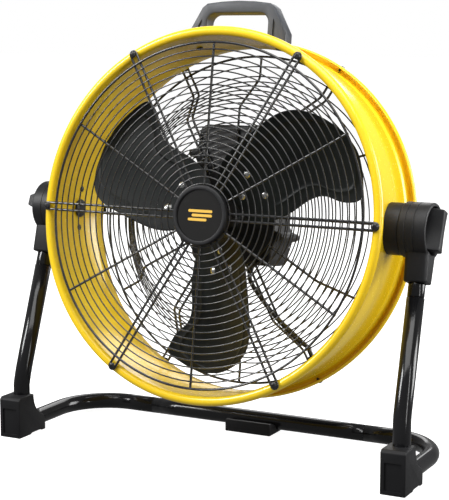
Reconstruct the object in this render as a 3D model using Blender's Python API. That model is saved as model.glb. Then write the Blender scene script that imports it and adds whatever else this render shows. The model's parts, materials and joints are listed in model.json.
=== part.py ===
"""Drum fan on a bent-tube floor stand, with its motor, guards, impeller and tilt pivots.

Units are metres. +Z is up, the fan blows towards -Y, and the origin is on the floor
straight below the tilt axis, midway between the two pivots.
"""

import math

import bmesh
import bpy
from mathutils import Matrix, Vector

# ---------------------------------------------------------------- overall sizes
DRUM_RADIUS = 0.2619          # middle of the barrel's sheet
DRUM_LENGTH = 0.1575          # front guard plane to rear guard plane
DRUM_TO_FLOOR = 0.0868        # from the barrel's lowest line down to the floor
REST_TILT = math.radians(8.63)
SHEET = 0.0012
FRONT_BEAD_RADIUS = 0.0064
REAR_BEAD_RADIUS = 0.0055
GAP = 0.0003                  # between pieces that touch
DRUM_SEGMENTS = 48
BEAD_STEPS = 4

# ---------------------------------------------------------------- guards
RIB_WIRE = 0.0019             # wire radii
RING_WIRE = 0.0012
WIRE_BITE = 0.0007            # how far a ring sinks into the ribs at each weld
GUARD_INSET = 0.0112          # outer ring, inwards from the barrel's sheet
GUARD_HUB_RADIUS = 0.046
HAIRPIN_HALF = 0.005
RIB_INNER = 0.036
IMPELLER_ROOM = 0.0953        # front guard plane back to the motor's mounting plane
RECESS_BAND = 0.0336          # flat band of the rear guard outside its recess
RECESS_MARGIN = 0.0277        # from the motor housing's top out to the recess's corner
SCREW_OUTSET = 0.0051         # guard screws, outwards from the barrel's sheet
SCREW_HEAD_RADIUS = 0.0050
SCREW_HEAD_HEIGHT = 0.0030
SCREW_SHANK_RADIUS = 0.0019
SCREW_SHANK_LENGTH = 0.0073
BADGE_RADIUS = 0.0435
BADGE_DEPTH = 0.0085
BADGE_RIM = 0.0063
BADGE_CHAMFER = 0.0015
BADGE_RECESS_DEPTH = 0.0030
INSERT_THICKNESS = 0.0012

# ---------------------------------------------------------------- impeller
BLADE_COUNT = 3
BLADE_PHASE = math.radians(39.7)
BLADE_TO_MOTOR = 0.0473       # blade plane, forwards from the motor's mounting plane
BLADE_PITCH = math.radians(24.1)
BLADE_CAMBER = 2.14           # rise per chord squared
BLADE_THICKNESS = 0.0014
TIP_CLEARANCE = 0.0324        # blade tip to the barrel's sheet
HUB_RADIUS = 0.020
HUB_AHEAD = 0.0170            # of the blade plane
HUB_BEHIND = 0.0188
ARM_THICKNESS = 0.0020
ARM_ROOT = 0.010
ARM_TIP = 0.090
SHAFT_RADIUS = 0.006
SHAFT_TIP = 0.0027            # standing out of the nut
NUT_RADIUS = 0.010
NUT_THICKNESS = 0.0085

# ---------------------------------------------------------------- motor and housing
MOTOR_RADIUS = 0.062
MOTOR_WALL = 0.0020
MOTOR_END_GAP = 0.0023        # behind the motor, inside the housing
SHAFT_CLEARANCE = 0.0015      # where the shaft passes through a case
AIR_GAP = 0.0006              # between rotor and stator
STATOR_RADIAL = 0.0237        # stator, from its bore to its outside
COIL_HEIGHT = 0.0055
COIL_INSET = 0.0045
BEARING_RADIUS = 0.011
BEARING_WIDTH = 0.007
BEARING_ROOM = 0.0120         # from each end of the motor to its core
PLATE_MARGIN = 0.013          # mounting plate beyond the motor
PLATE_THICKNESS = 0.0020
PLATE_HOLE = 0.020
HOUSING_DEPTH = 0.0645
HOUSING_WALL = 0.0028
HOUSING_SIDE_MARGIN = 0.005   # housing beyond the motor, at the sides and below
HOUSING_FOOT_MARGIN = 0.006
HOUSING_CORNER = 0.015
HOUSING_INNER_CORNER = 0.014
EAR_REACH = 0.017
EAR_HALF = 0.004
EAR_SHOULDER = 0.012
EAR_DROP = 0.045              # ear's middle, inwards from the housing's end
SWITCH_ABOVE_MOTOR = 0.043
SWITCH_BELOW_TOP = 0.035
SWITCH_SIZE = 0.028
SWITCH_DEPTH = 0.019
SWITCH_BORE_DEPTH = 0.010
KNOB_RADIUS = 0.017
KNOB_DEPTH = 0.015
KNOB_LIFT = 0.0005            # knob off the housing's back
STEM_RADIUS = 0.003
STEM_CLEARANCE = 0.0005
STEM_INSET = 0.009
CAPACITOR = (0.040, 0.024, 0.030)
GLAND_X = 0.0112
GLAND_RADIUS = 0.0065
GLAND_LENGTH = 0.0145
GLAND_FLANGE = 0.004
GLAND_INSET = 0.016           # forwards from the housing's back
LEAD_RADIUS = 0.0035
LEAD_WAY = (                  # shares of the way across, back and down, from gland to clamp
    (0.010, 0.00, 0.069), (0.066, 0.10, 0.164), (0.153, 0.26, 0.268), (0.259, 0.46, 0.390),
    (0.395, 0.66, 0.524), (0.569, 0.87, 0.676), (0.744, 0.97, 0.811),
)
LEAD_END = 0.014              # straight length where the lead enters its clamp
CLAMP_INSET = 0.0217          # where the lead meets its clamp, inwards from the outer ring
CLAMP_LENGTH = 0.0209
CLAMP_HEIGHT = 0.0125
CLAMP_WIDTH = 0.0150

# ---------------------------------------------------------------- handle
HANDLE_HALF_FOOT = 0.0810
HANDLE_HALF_TOP = 0.0560
HANDLE_HALF_GAP = 0.0505
HANDLE_RISE = 0.0595          # crown above the drum's outside
HANDLE_SHOULDER_RISE = 0.0115
HANDLE_GRIP = 0.0190
HANDLE_DEPTH = 0.0240
HANDLE_EDGE = 0.0015
HANDLE_SCREW_LENGTH = 0.0140

# ---------------------------------------------------------------- pivots and stand
BOSS_RADIUS = 0.0372
BOSS_STANDOFF = 0.0216        # boss face, outwards from the barrel's sheet
BOSS_ROOT = 0.0105            # how far in the boss is started before the barrel trims it
BRACKET_RADIUS = 0.0395
BRACKET_THICKNESS = 0.0410
BRACKET_RECESS = 0.0150
BRACKET_RIM = 0.0050
BOLT_RADIUS = 0.0050
BOLT_HEAD_RADIUS = 0.0140
BOLT_HEAD_THICKNESS = 0.0035
BOLT_HEAD_CHAMFER = 0.0010
BOLT_PROUD = 0.0030           # bolt's end beyond the bracket's face
BORE_GAP = 0.0004             # running clearance round the pivot bolt
KNOB_SEAT_GAP = 0.0005
KNOB_FLANGE_GAP = 0.0010
TILT_KNOB_PROUD = 0.0135      # grip's face beyond the bracket's face
TILT_KNOB_FLANGE = 0.0060
GRIP_LENGTH = 0.0600
GRIP_WIDTH = 0.0140
GRIP_LEAN_RIGHT = math.radians(22)
GRIP_LEAN_LEFT = math.radians(66)
SOCKET_INSET = 0.0163         # upright's axis, inwards from the bracket's face
SOCKET_START = 0.012          # from the tilt axis, along the upright
SOCKET_END = 0.0750
SOCKET_WALL_SIDE = 0.0043
SOCKET_WALL_FRONT = 0.0028
SOCKET_FLARE = 1.35
SOCKET_CORNER = 0.007
SOCKET_RIM = 0.0025
TUBE_RADIUS = 0.0127
TUBE_WALL = 0.0008
TUBE_SIDES = 12
UPRIGHT_STEP = 0.0005         # upright tube thinner than the side tube it plugs into
UPRIGHT_ABOVE = 0.0025        # tube's end below the bracket's round part
UPRIGHT_JOINT = 0.0957        # from the tilt axis, along the upright
UPRIGHT_NECK = 0.0014
UPRIGHT_SPLAY = 0.0060        # outwards, from the tilt axis down to the foot
INSERT_LENGTH = 0.0450
KNEE_HEIGHT = 0.0780
KNEE_LENGTH = 0.0200
LEG_SPLAY = 0.0073
LEG_Y = -0.0885
LEG_OFFSET = 0.0005           # upright's line ahead of the leg's at the knee
FOOT_BEND = 0.0450
REAR_BEND = 0.0850
BEND_STEPS = 5
CROSS_Y = 0.1020
TUBE_LIFT = 0.0038            # tube's underside above the floor
CROSS_JOINT_INSET = 0.0450    # joint, inwards from the end of the rear bend
SLEEVE_IN_CROSS = 0.0350
SLEEVE_IN_SIDE = 0.0175
BOOT_WALL = 0.0058
BOOT_TOE = 0.0208             # boot's front ahead of the leg
BOOT_HEEL = 0.0238
BOOT_HEIGHT = 0.0635
BOOT_RISE = 0.0020            # arch under the boot
BOOT_TOE_FLAT = 0.030
BOOT_HEEL_FLAT = 0.009
BOOT_CORNER = 0.004
BOOT_PANEL = 0.002
PAD_HALF_WIDTH = 0.0390
PAD_TOE = 0.0203
PAD_HEEL = 0.0073
PAD_RISE = 0.0025             # pad's front edge above the tube's middle

# ---------------------------------------------------------------- derived places
DRUM_OUTSIDE = DRUM_RADIUS + SHEET / 2
DRUM_INSIDE = DRUM_RADIUS - SHEET / 2
DRUM_FLAT = math.cos(math.pi / DRUM_SEGMENTS)  # a facet's middle sits closer in than its ends
PIVOT_HEIGHT = DRUM_RADIUS + DRUM_TO_FLOOR
FRONT_PLANE = -DRUM_LENGTH / 2
REAR_PLANE = DRUM_LENGTH / 2
RECESS_PLANE = FRONT_PLANE + IMPELLER_ROOM
GUARD_RADIUS = DRUM_RADIUS - GUARD_INSET
GUARD_SCREW_CIRCLE = DRUM_RADIUS + SCREW_OUTSET

BLADE_TIP = DRUM_RADIUS - TIP_CLEARANCE
BLADE_Y = RECESS_PLANE - BLADE_TO_MOTOR
HUB_FRONT = BLADE_Y - HUB_AHEAD
HUB_BACK = BLADE_Y + HUB_BEHIND

HOUSING_FRONT = RECESS_PLANE + RIB_WIRE + GAP
HOUSING_BACK = HOUSING_FRONT + HOUSING_DEPTH
HOUSING_SEAM = (HOUSING_FRONT + HOUSING_BACK) / 2
HOUSING_SIDE = MOTOR_RADIUS + HOUSING_SIDE_MARGIN
HOUSING_BOTTOM = -MOTOR_RADIUS - HOUSING_FOOT_MARGIN
SWITCH_HEIGHT = MOTOR_RADIUS + SWITCH_ABOVE_MOTOR
HOUSING_TOP = SWITCH_HEIGHT + SWITCH_BELOW_TOP
GLAND_Y = HOUSING_BACK - GLAND_INSET
MOTOR_FRONT = HOUSING_FRONT + HOUSING_WALL + GAP
MOTOR_BACK = HOUSING_BACK - HOUSING_WALL - MOTOR_END_GAP - GAP
MOTOR_SEAM = (MOTOR_FRONT + MOTOR_BACK) / 2
CORE_HALF = MOTOR_BACK - MOTOR_SEAM - BEARING_ROOM
STATOR_OUTSIDE = MOTOR_RADIUS - MOTOR_WALL - GAP
STATOR_BORE = STATOR_OUTSIDE - STATOR_RADIAL
RECESS_INNER = HOUSING_TOP + RECESS_MARGIN
RECESS_OUTER = GUARD_RADIUS - RECESS_BAND

HANDLE_CROWN = DRUM_OUTSIDE + HANDLE_RISE
HANDLE_SHOULDER = DRUM_OUTSIDE + HANDLE_SHOULDER_RISE
HANDLE_SCREW_X = (HANDLE_HALF_GAP + HANDLE_HALF_FOOT) / 2

BOSS_FACE = DRUM_RADIUS + BOSS_STANDOFF        # distance from the middle of the fan
BRACKET_FACE = BOSS_FACE + BRACKET_THICKNESS
KNOB_SEAT = BRACKET_FACE - BRACKET_RECESS + KNOB_SEAT_GAP
TILT_KNOB_FACE = BRACKET_FACE + TILT_KNOB_PROUD
UPRIGHT_TOP_X = BRACKET_FACE - SOCKET_INSET
UPRIGHT_TOP = BRACKET_RADIUS + UPRIGHT_ABOVE
UPRIGHT_RADIUS = TUBE_RADIUS - UPRIGHT_STEP
BASE_HALF_WIDTH = UPRIGHT_TOP_X + LEG_SPLAY
CROSS_HALF_LENGTH = BASE_HALF_WIDTH - REAR_BEND - CROSS_JOINT_INSET
TUBE_HEIGHT = TUBE_RADIUS + TUBE_LIFT
TUBE_FLAT = math.cos(math.pi / TUBE_SIDES)     # a tube's flats sit closer in than its edges
INSERT_RADIUS = (TUBE_RADIUS - TUBE_WALL) * TUBE_FLAT - GAP
BOOT_FRONT = LEG_Y - TUBE_RADIUS - BOOT_TOE
BOOT_BACK = LEG_Y + TUBE_RADIUS + BOOT_HEEL


# ---------------------------------------------------------------- helpers
def clear_scene():
    for old in list(bpy.data.objects):
        bpy.data.objects.remove(old)


def material(name, colour, roughness, metallic=0.0):
    mat = bpy.data.materials.get(name)
    if mat is None:
        mat = bpy.data.materials.new(name)
        mat.use_nodes = True
        shader = mat.node_tree.nodes["Principled BSDF"]
        shader.inputs["Base Color"].default_value = (*colour, 1.0)
        shader.inputs["Roughness"].default_value = roughness
        shader.inputs["Metallic"].default_value = metallic
    return mat


def yellow_paint():
    return material("yellow_paint", (0.89, 0.62, 0.03), 0.30)


def black_paint():
    return material("black_paint", (0.012, 0.012, 0.013), 0.28)


def black_plastic():
    return material("black_plastic", (0.020, 0.020, 0.022), 0.45)


def grey_plastic():
    return material("grey_plastic", (0.055, 0.058, 0.065), 0.50)


def black_wire():
    return material("black_wire", (0.010, 0.010, 0.010), 0.35)


def blade_coating():
    return material("blade_coating", (0.025, 0.027, 0.027), 0.35)


def bright_steel():
    return material("bright_steel", (0.62, 0.62, 0.60), 0.30, 1.0)


def core_steel():
    return material("core_steel", (0.30, 0.30, 0.31), 0.45, 1.0)


def rubber():
    return material("rubber", (0.015, 0.015, 0.015), 0.70)


def gold_trim():
    return material("gold_trim", (0.83, 0.58, 0.08), 0.35, 0.6)


def empty(name, location, rotation=(0.0, 0.0, 0.0), parent=None):
    item = bpy.data.objects.new(name, None)
    item.location = location
    item.rotation_euler = rotation
    item.parent = parent
    bpy.context.scene.collection.objects.link(item)
    return item


def mesh_object(name, bm, mat, parent=None, location=(0, 0, 0), rotation=(0, 0, 0)):
    bmesh.ops.recalc_face_normals(bm, faces=bm.faces)
    mesh = bpy.data.meshes.new(name)
    bm.to_mesh(mesh)
    bm.free()
    mesh.materials.append(mat)
    mesh.shade_smooth()
    mesh.set_sharp_from_angle(angle=math.radians(35))
    return place(name, mesh, parent, location, rotation)


def place(name, data, parent=None, location=(0, 0, 0), rotation=(0, 0, 0)):
    item = bpy.data.objects.new(name, data)
    item.parent = parent
    item.location = location
    item.rotation_euler = rotation
    bpy.context.scene.collection.objects.link(item)
    return item


def combine(target, tool, operation):
    """Adds a live Boolean to target and hides the tool that it uses."""
    tool.hide_render = True
    tool.display_type = "WIRE"
    modifier = target.modifiers.new(operation.lower(), "BOOLEAN")
    modifier.operation = operation
    modifier.solver = "EXACT"
    modifier.object = tool
    return target


def add_turned(bm, profile, segments, closed=True):
    """Spins a profile of (radius, y) points about the Y axis into a closed solid."""
    verts = [bm.verts.new((radius, y, 0.0)) for radius, y in profile]
    edges = [bm.edges.new(pair) for pair in zip(verts, verts[1:])]
    if closed:
        edges.append(bm.edges.new((verts[-1], verts[0])))
    bmesh.ops.spin(
        bm, geom=verts + edges, cent=(0, 0, 0), axis=(0, 1, 0),
        angle=2 * math.pi, steps=segments, use_merge=True,
    )
    bmesh.ops.remove_doubles(bm, verts=bm.verts, dist=1e-6)


def turned(name, profile, mat, parent, segments=24, closed=True, **placing):
    bm = bmesh.new()
    add_turned(bm, profile, segments, closed)
    return mesh_object(name, bm, mat, parent, **placing)


def ring_profile(inner, outer, start, end):
    return [(inner, start), (outer, start), (outer, end), (inner, end)]


def rod_profile(radius, start, end):
    return [(0.0, start), (radius, start), (radius, end), (0.0, end)]


def add_rod(bm, start, end, radius, segments=16, end_radius=None):
    """Adds a closed cylinder, or a cone, between two points."""
    start = Vector(start)
    axis = Vector(end) - start
    turn = axis.to_track_quat("Z", "X").to_matrix().to_4x4()
    bmesh.ops.create_cone(
        bm, cap_ends=True, segments=segments, radius1=radius,
        radius2=radius if end_radius is None else end_radius,
        depth=axis.length, matrix=Matrix.Translation(start + axis / 2) @ turn,
    )


def add_box(bm, low, high, matrix=None):
    low = Vector(low)
    high = Vector(high)
    shape = Matrix.Translation((low + high) / 2) @ Matrix.Diagonal((*(high - low), 1.0))
    if matrix is not None:
        shape = matrix @ shape
    return bmesh.ops.create_cube(bm, size=1.0, matrix=shape)["verts"]


def add_prism(bm, outline, start, end, axis="Y"):
    """Extrudes an outline of (across, up) points along the X or Y axis."""
    def corner(across, up, along):
        return (along, across, up) if axis == "X" else (across, along, up)

    base = bm.faces.new([bm.verts.new(corner(a, b, start)) for a, b in outline])
    grown = bmesh.ops.extrude_face_region(bm, geom=[base])["geom"]
    shift = Vector(corner(0.0, 0.0, end - start))
    moved = [item for item in grown if isinstance(item, bmesh.types.BMVert)]
    bmesh.ops.translate(bm, verts=moved, vec=shift)


def cutter(name, bm, parent=None, rotation=(0, 0, 0)):
    return mesh_object(name, bm, black_plastic(), parent, rotation=rotation)


def arc(centre, radius, start, end, steps):
    """Points on an arc in degrees, both ends included."""
    points = []
    for step in range(steps + 1):
        angle = math.radians(start + (end - start) * step / steps)
        points.append((centre[0] + radius * math.cos(angle), centre[1] + radius * math.sin(angle)))
    return points


def wire_curve(name, paths, radius, sides):
    """A curve with round wires; a path is (points, is_cyclic) and sides is even."""
    curve = bpy.data.curves.new(name, "CURVE")
    curve.dimensions = "3D"
    curve.bevel_depth = radius
    curve.bevel_resolution = sides // 2 - 2
    curve.use_fill_caps = True
    for points, cyclic in paths:
        spline = curve.splines.new("POLY")
        spline.points.add(len(points) - 1)
        for target, point in zip(spline.points, points):
            target.co = (*point, 1.0)
        spline.use_cyclic_u = cyclic
    return curve


def wire_mesh(name, paths, radius, sides=4):
    """The same wires as a mesh."""
    holder = place(name + "_curve", wire_curve(name, paths, radius, sides))
    bpy.context.view_layer.update()
    depsgraph = bpy.context.evaluated_depsgraph_get()
    mesh = bpy.data.meshes.new_from_object(holder.evaluated_get(depsgraph))
    bpy.data.objects.remove(holder)
    return mesh


def hollow_tube(name, points, radius, mat, neck_radius=None):
    """A tube with open ends along a path of points; its last two points may be narrower."""
    curve = wire_curve(name, [(points, False)], radius, TUBE_SIDES)
    curve.use_fill_caps = False
    curve.materials.append(mat)
    if neck_radius is not None:
        for point in curve.splines[0].points[-2:]:
            point.radius = neck_radius / radius
    item = place(name, curve)
    wall = item.modifiers.new("wall", "SOLIDIFY")
    wall.thickness = TUBE_WALL
    wall.offset = -1.0
    return item


# ---------------------------------------------------------------- drum
def drum_profile():
    """The sheet's middle line, (radius, y), from the front curl to the rear curl."""
    front_y = FRONT_PLANE + RIB_WIRE + GAP + SHEET / 2 + FRONT_BEAD_RADIUS
    rear_y = REAR_PLANE - RIB_WIRE - GAP - SHEET / 2 - REAR_BEAD_RADIUS
    front = arc((DRUM_RADIUS + FRONT_BEAD_RADIUS, front_y), FRONT_BEAD_RADIUS, 420, 180, BEAD_STEPS)
    rear = arc((DRUM_RADIUS + REAR_BEAD_RADIUS, rear_y), REAR_BEAD_RADIUS, 180, -60, BEAD_STEPS)
    return front + rear


def radial(radius, angle, y):
    return Vector((radius * math.cos(angle), y, radius * math.sin(angle)))


def screw_angles():
    return [math.radians(60 * index) for index in range(6)]


def handle_screw_direction(side):
    height = math.sqrt(DRUM_INSIDE ** 2 - HANDLE_SCREW_X ** 2)
    return Vector((side * HANDLE_SCREW_X, 0.0, height)).normalized()


def drum_holes(parent):
    bm = bmesh.new()
    through = 4 * SHEET
    for angle in screw_angles():
        for plane, inward in ((FRONT_PLANE, 1), (REAR_PLANE, -1)):
            add_rod(
                bm, radial(GUARD_SCREW_CIRCLE, angle, plane),
                radial(GUARD_SCREW_CIRCLE, angle, plane + inward * (SCREW_SHANK_LENGTH + SHEET)),
                SCREW_SHANK_RADIUS + GAP, 8,
            )
    for side in (-1, 1):
        wall = side * DRUM_RADIUS
        add_rod(bm, (wall - through, 0, 0), (wall + through, 0, 0), BOLT_RADIUS + GAP, 12)
        way = handle_screw_direction(side)
        add_rod(bm, way * (DRUM_RADIUS - through), way * (DRUM_RADIUS + through),
                SCREW_SHANK_RADIUS + GAP, 8)
    return cutter("drum_hole_cutter", bm, parent)


def make_drum(head):
    bm = bmesh.new()
    add_turned(bm, drum_profile(), DRUM_SEGMENTS, closed=False)
    drum = mesh_object("drum_shell", bm, yellow_paint(), head)
    sheet = drum.modifiers.new("sheet", "SOLIDIFY")
    sheet.thickness = SHEET
    sheet.offset = 0.0
    combine(drum, drum_holes(head), "DIFFERENCE")


# ---------------------------------------------------------------- guards
def hairpin_path(section, angle):
    """One wire that runs in along a radius, round the screw and back out."""
    out = Vector((math.cos(angle), 0.0, math.sin(angle)))
    across = Vector((-math.sin(angle), 0.0, math.cos(angle)))
    rise = Vector((0.0, 1.0, 0.0))
    run = [out * radius + rise * y for radius, y in section]
    tip = out * GUARD_SCREW_CIRCLE + rise * section[-1][1]
    first = [point - across * HAIRPIN_HALF for point in run]
    turn = []
    for radius, offset in arc((0.0, 0.0), HAIRPIN_HALF, -90, 90, 4):
        turn.append(tip + out * radius + across * offset)
    second = [point + across * HAIRPIN_HALF for point in reversed(run)]
    return first + turn + second


def single_path(section, angle):
    return [radial(radius, angle, y) for radius, y in section]


def guard_wires(name, section, single_section, rings, ring_shift, head):
    """Six hairpins and six single ribs, joined by rings that are welded across them."""
    paths = []
    for index in range(6):
        paths.append((hairpin_path(section, math.radians(60 * index)), False))
        paths.append((single_path(single_section, math.radians(60 * index + 30)), False))
    ribs = wire_mesh(name, paths, RIB_WIRE)
    ribs.materials.append(black_wire())
    guard = place(name, ribs, head)
    circles = []
    for radius, y, steps in rings:
        turns = [2 * math.pi * (step + 0.5) / steps for step in range(steps)]
        circles.append(([radial(radius, turn, y + ring_shift) for turn in turns], True))
    hoops = place(name + "_rings", wire_mesh(name + "_rings", circles, RING_WIRE), head)
    combine(guard, hoops, "UNION")


def make_front_guard(head):
    section = [(RIB_INNER, FRONT_PLANE), (GUARD_SCREW_CIRCLE, FRONT_PLANE)]
    single = [(RIB_INNER, FRONT_PLANE), (GUARD_RADIUS + RING_WIRE, FRONT_PLANE)]
    count = 4
    step = (GUARD_RADIUS - GUARD_HUB_RADIUS) / count
    rings = [(GUARD_HUB_RADIUS + step * index, FRONT_PLANE, 24) for index in range(count)]
    rings.append((GUARD_RADIUS, FRONT_PLANE, 36))
    shift = -(RIB_WIRE + RING_WIRE - WIRE_BITE)
    guard_wires("front_guard", section, single, rings, shift, head)


def make_rear_guard(head):
    recess = [(GUARD_HUB_RADIUS, RECESS_PLANE), (RECESS_INNER, RECESS_PLANE)]
    recess.append((RECESS_OUTER, REAR_PLANE))
    section = recess + [(GUARD_SCREW_CIRCLE, REAR_PLANE)]
    single = recess + [(GUARD_RADIUS + RING_WIRE, REAR_PLANE)]
    clear = 2.5 * RING_WIRE               # keeps a ring off the end or the bend of a rib
    rings = [
        (GUARD_HUB_RADIUS + clear, RECESS_PLANE, 24),
        ((RECESS_INNER + GUARD_HUB_RADIUS) / 2, RECESS_PLANE, 24),
        (RECESS_INNER - clear, RECESS_PLANE, 24),
        (RECESS_OUTER + clear, REAR_PLANE, 24),
        (GUARD_RADIUS, REAR_PLANE, 36),
    ]
    shift = -(RIB_WIRE + RING_WIRE - WIRE_BITE)
    guard_wires("rear_guard", section, single, rings, shift, head)


def make_guard_screws(head):
    """Round-headed screws that hold the hairpins to the drum's two rims."""
    seat = RIB_WIRE + GAP
    crown = SCREW_HEAD_RADIUS * 0.55
    profile = [
        (0.0, SCREW_SHANK_LENGTH), (SCREW_SHANK_RADIUS, SCREW_SHANK_LENGTH),
        (SCREW_SHANK_RADIUS, -seat), (SCREW_HEAD_RADIUS, -seat),
        (SCREW_HEAD_RADIUS, -seat - SCREW_HEAD_HEIGHT * 0.4),
        (crown, -seat - SCREW_HEAD_HEIGHT), (0.0, -seat - SCREW_HEAD_HEIGHT),
    ]
    for prefix, plane, turn in (("front", FRONT_PLANE, 0.0), ("rear", REAR_PLANE, math.pi)):
        for index, angle in enumerate(screw_angles(), start=1):
            turned(
                f"{prefix}_guard_screw_{index}", profile, black_paint(), head, segments=8,
                closed=False, location=radial(GUARD_SCREW_CIRCLE, angle, plane),
                rotation=(turn, 0.0, 0.0),
            )


def make_badge(head):
    back = FRONT_PLANE - RIB_WIRE - GAP
    front = back - BADGE_DEPTH
    floor = front + BADGE_RECESS_DEPTH
    recess = BADGE_RADIUS - BADGE_RIM
    profile = [
        (0.0, back), (BADGE_RADIUS, back), (BADGE_RADIUS, front + BADGE_CHAMFER),
        (BADGE_RADIUS - BADGE_CHAMFER, front), (recess, front), (recess, floor), (0.0, floor),
    ]
    turned("guard_badge", profile, black_plastic(), head, segments=32, closed=False)
    disc = rod_profile(recess - GAP, floor - GAP - INSERT_THICKNESS, floor - GAP)
    turned("badge_insert", disc, gold_trim(), head, segments=32, closed=False)


# ---------------------------------------------------------------- handle
def handle_outline():
    """Outline in the plane across the drum, (x, z), anticlockwise from the right foot."""
    seat = DRUM_OUTSIDE + GAP

    def drum_top(x):
        return math.sqrt(seat ** 2 - x ** 2)

    under = HANDLE_CROWN - HANDLE_GRIP
    corner = 0.014                        # rounding inside the hand gap
    slope = 0.004                         # the shoulders' ease into the crown
    inner = arc((HANDLE_HALF_GAP - corner, under - corner), corner, 0, 80, 3)
    right = [
        (HANDLE_HALF_GAP, drum_top(HANDLE_HALF_GAP)), (HANDLE_SCREW_X, drum_top(HANDLE_SCREW_X)),
        (HANDLE_HALF_FOOT, drum_top(HANDLE_HALF_FOOT)), (HANDLE_HALF_FOOT, HANDLE_SHOULDER),
        (HANDLE_HALF_TOP + slope, HANDLE_CROWN - 2.5 * slope),
        (HANDLE_HALF_TOP - slope, HANDLE_CROWN - slope),
    ]
    left = [(-x, z) for x, z in reversed(right)]
    gap = [(-x, z) for x, z in inner] + [(0.0, under)] + list(reversed(inner))
    return right + [(0.0, HANDLE_CROWN)] + left + gap


def make_handle(head):
    bm = bmesh.new()
    add_prism(bm, handle_outline(), -HANDLE_DEPTH / 2, HANDLE_DEPTH / 2)
    handle = mesh_object("carry_handle", bm, grey_plastic(), head)
    edge = handle.modifiers.new("edge", "BEVEL")
    edge.width = HANDLE_EDGE
    edge.segments = 1
    edge.limit_method = "ANGLE"
    edge.angle_limit = math.radians(60)
    holes = bmesh.new()
    shank_end = DRUM_OUTSIDE + HANDLE_SCREW_LENGTH
    for side in (-1, 1):
        way = handle_screw_direction(side)
        add_rod(holes, way * DRUM_INSIDE, way * (shank_end + GAP),
                SCREW_SHANK_RADIUS + GAP, 8)
    combine(handle, cutter("handle_hole_cutter", holes, head), "DIFFERENCE")
    seat = DRUM_INSIDE * DRUM_FLAT - 2 * GAP
    profile = [
        (0.0, shank_end), (SCREW_SHANK_RADIUS, shank_end), (SCREW_SHANK_RADIUS, seat),
        (SCREW_HEAD_RADIUS, seat), (SCREW_HEAD_RADIUS * 0.8, seat - SCREW_HEAD_HEIGHT),
        (0.0, seat - SCREW_HEAD_HEIGHT),
    ]
    for side in (-1, 1):
        way = handle_screw_direction(side)
        turned(f"handle_screw_{side_name(side)}", profile, black_paint(), head, segments=8,
               closed=False, rotation=(math.pi / 2, math.atan2(way.x, way.z), 0.0))


# ---------------------------------------------------------------- impeller
def edge_at(points, reach):
    """Reads an edge's chord position at a distance from the axis along the blade."""
    for (r0, c0), (r1, c1) in zip(points, points[1:]):
        if reach <= r1:
            return c0 + (c1 - c0) * (reach - r0) / (r1 - r0)
    return points[-1][1]


def blade_edges():
    """Leading edge, trailing edge and stations; (reach, chord) in shares of the tip's reach."""
    leading = [
        (0.148, 0.157), (0.240, 0.227), (0.370, 0.261), (0.566, 0.264), (0.758, 0.250),
        (0.871, 0.190), (0.950, 0.072), (0.991, -0.061), (1.0, -0.131),
    ]
    trailing = [
        (0.148, -0.174), (0.261, -0.248), (0.401, -0.289), (0.566, -0.305), (0.654, -0.349),
        (0.719, -0.451), (0.784, -0.508), (0.837, -0.521), (0.885, -0.473), (0.922, -0.410),
        (0.965, -0.320), (0.993, -0.227), (1.0, -0.131),
    ]
    stations = [0.148, 0.24, 0.37, 0.50, 0.60, 0.66, 0.72, 0.784, 0.837, 0.89, 0.94, 0.978, 1.0]
    leading = [(reach * BLADE_TIP, chord * BLADE_TIP) for reach, chord in leading]
    trailing = [(reach * BLADE_TIP, chord * BLADE_TIP) for reach, chord in trailing]
    return leading, trailing, [station * BLADE_TIP for station in stations]


def blade_point(reach, chord, back=0.0):
    """A point of the cambered, pitched blade surface whose root lies along +X."""
    y = BLADE_Y - chord * math.sin(BLADE_PITCH) - BLADE_CAMBER * chord ** 2
    return (reach, y + back, chord * math.cos(BLADE_PITCH))


def add_sheet(bm, rows):
    """Bridges rows of points into one open surface."""
    grid = [[bm.verts.new(point) for point in row] for row in rows]
    for upper, lower in zip(grid, grid[1:]):
        for index in range(len(upper) - 1):
            bm.faces.new((upper[index], upper[index + 1], lower[index + 1], lower[index]))
    bmesh.ops.remove_doubles(bm, verts=bm.verts, dist=1e-6)


def blade_rows(stations, leading, trailing, columns, back=0.0):
    rows = []
    for reach in stations:
        low = edge_at(trailing, reach)
        high = edge_at(leading, reach)
        chords = [low + (high - low) * index / columns for index in range(columns + 1)]
        rows.append([blade_point(reach, chord, back) for chord in chords])
    return rows


def make_blades(impeller):
    leading, trailing, stations = blade_edges()
    for index in range(BLADE_COUNT):
        bm = bmesh.new()
        add_sheet(bm, blade_rows(stations, leading, trailing, 5))
        turn = BLADE_PHASE + 2 * math.pi * index / BLADE_COUNT
        blade = mesh_object(f"blade_{index + 1}", bm, blade_coating(), impeller,
                            rotation=(0.0, -turn, 0.0))
        sheet = blade.modifiers.new("sheet", "SOLIDIFY")
        sheet.thickness = BLADE_THICKNESS
        sheet.offset = 0.0


def make_arm(index, impeller):
    """One arm of the spider, a plate that lies close behind its blade's root."""
    behind = (BLADE_THICKNESS + ARM_THICKNESS) / 2 + 2.3 * GAP
    leading = [(ARM_ROOT, 0.014), (0.050, 0.026), (0.080, 0.028), (ARM_TIP, 0.020)]
    trailing = [(reach, -chord) for reach, chord in leading]
    bm = bmesh.new()
    add_sheet(bm, blade_rows([reach for reach, chord in leading], leading, trailing, 3, behind))
    turn = BLADE_PHASE + 2 * math.pi * index / BLADE_COUNT
    arm = mesh_object(f"arm_{index + 1}", bm, black_paint(), impeller,
                      rotation=(0.0, -turn, 0.0))
    arm.hide_render = True
    sheet = arm.modifiers.new("sheet", "SOLIDIFY")
    sheet.thickness = ARM_THICKNESS
    sheet.offset = 0.0
    return arm


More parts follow.
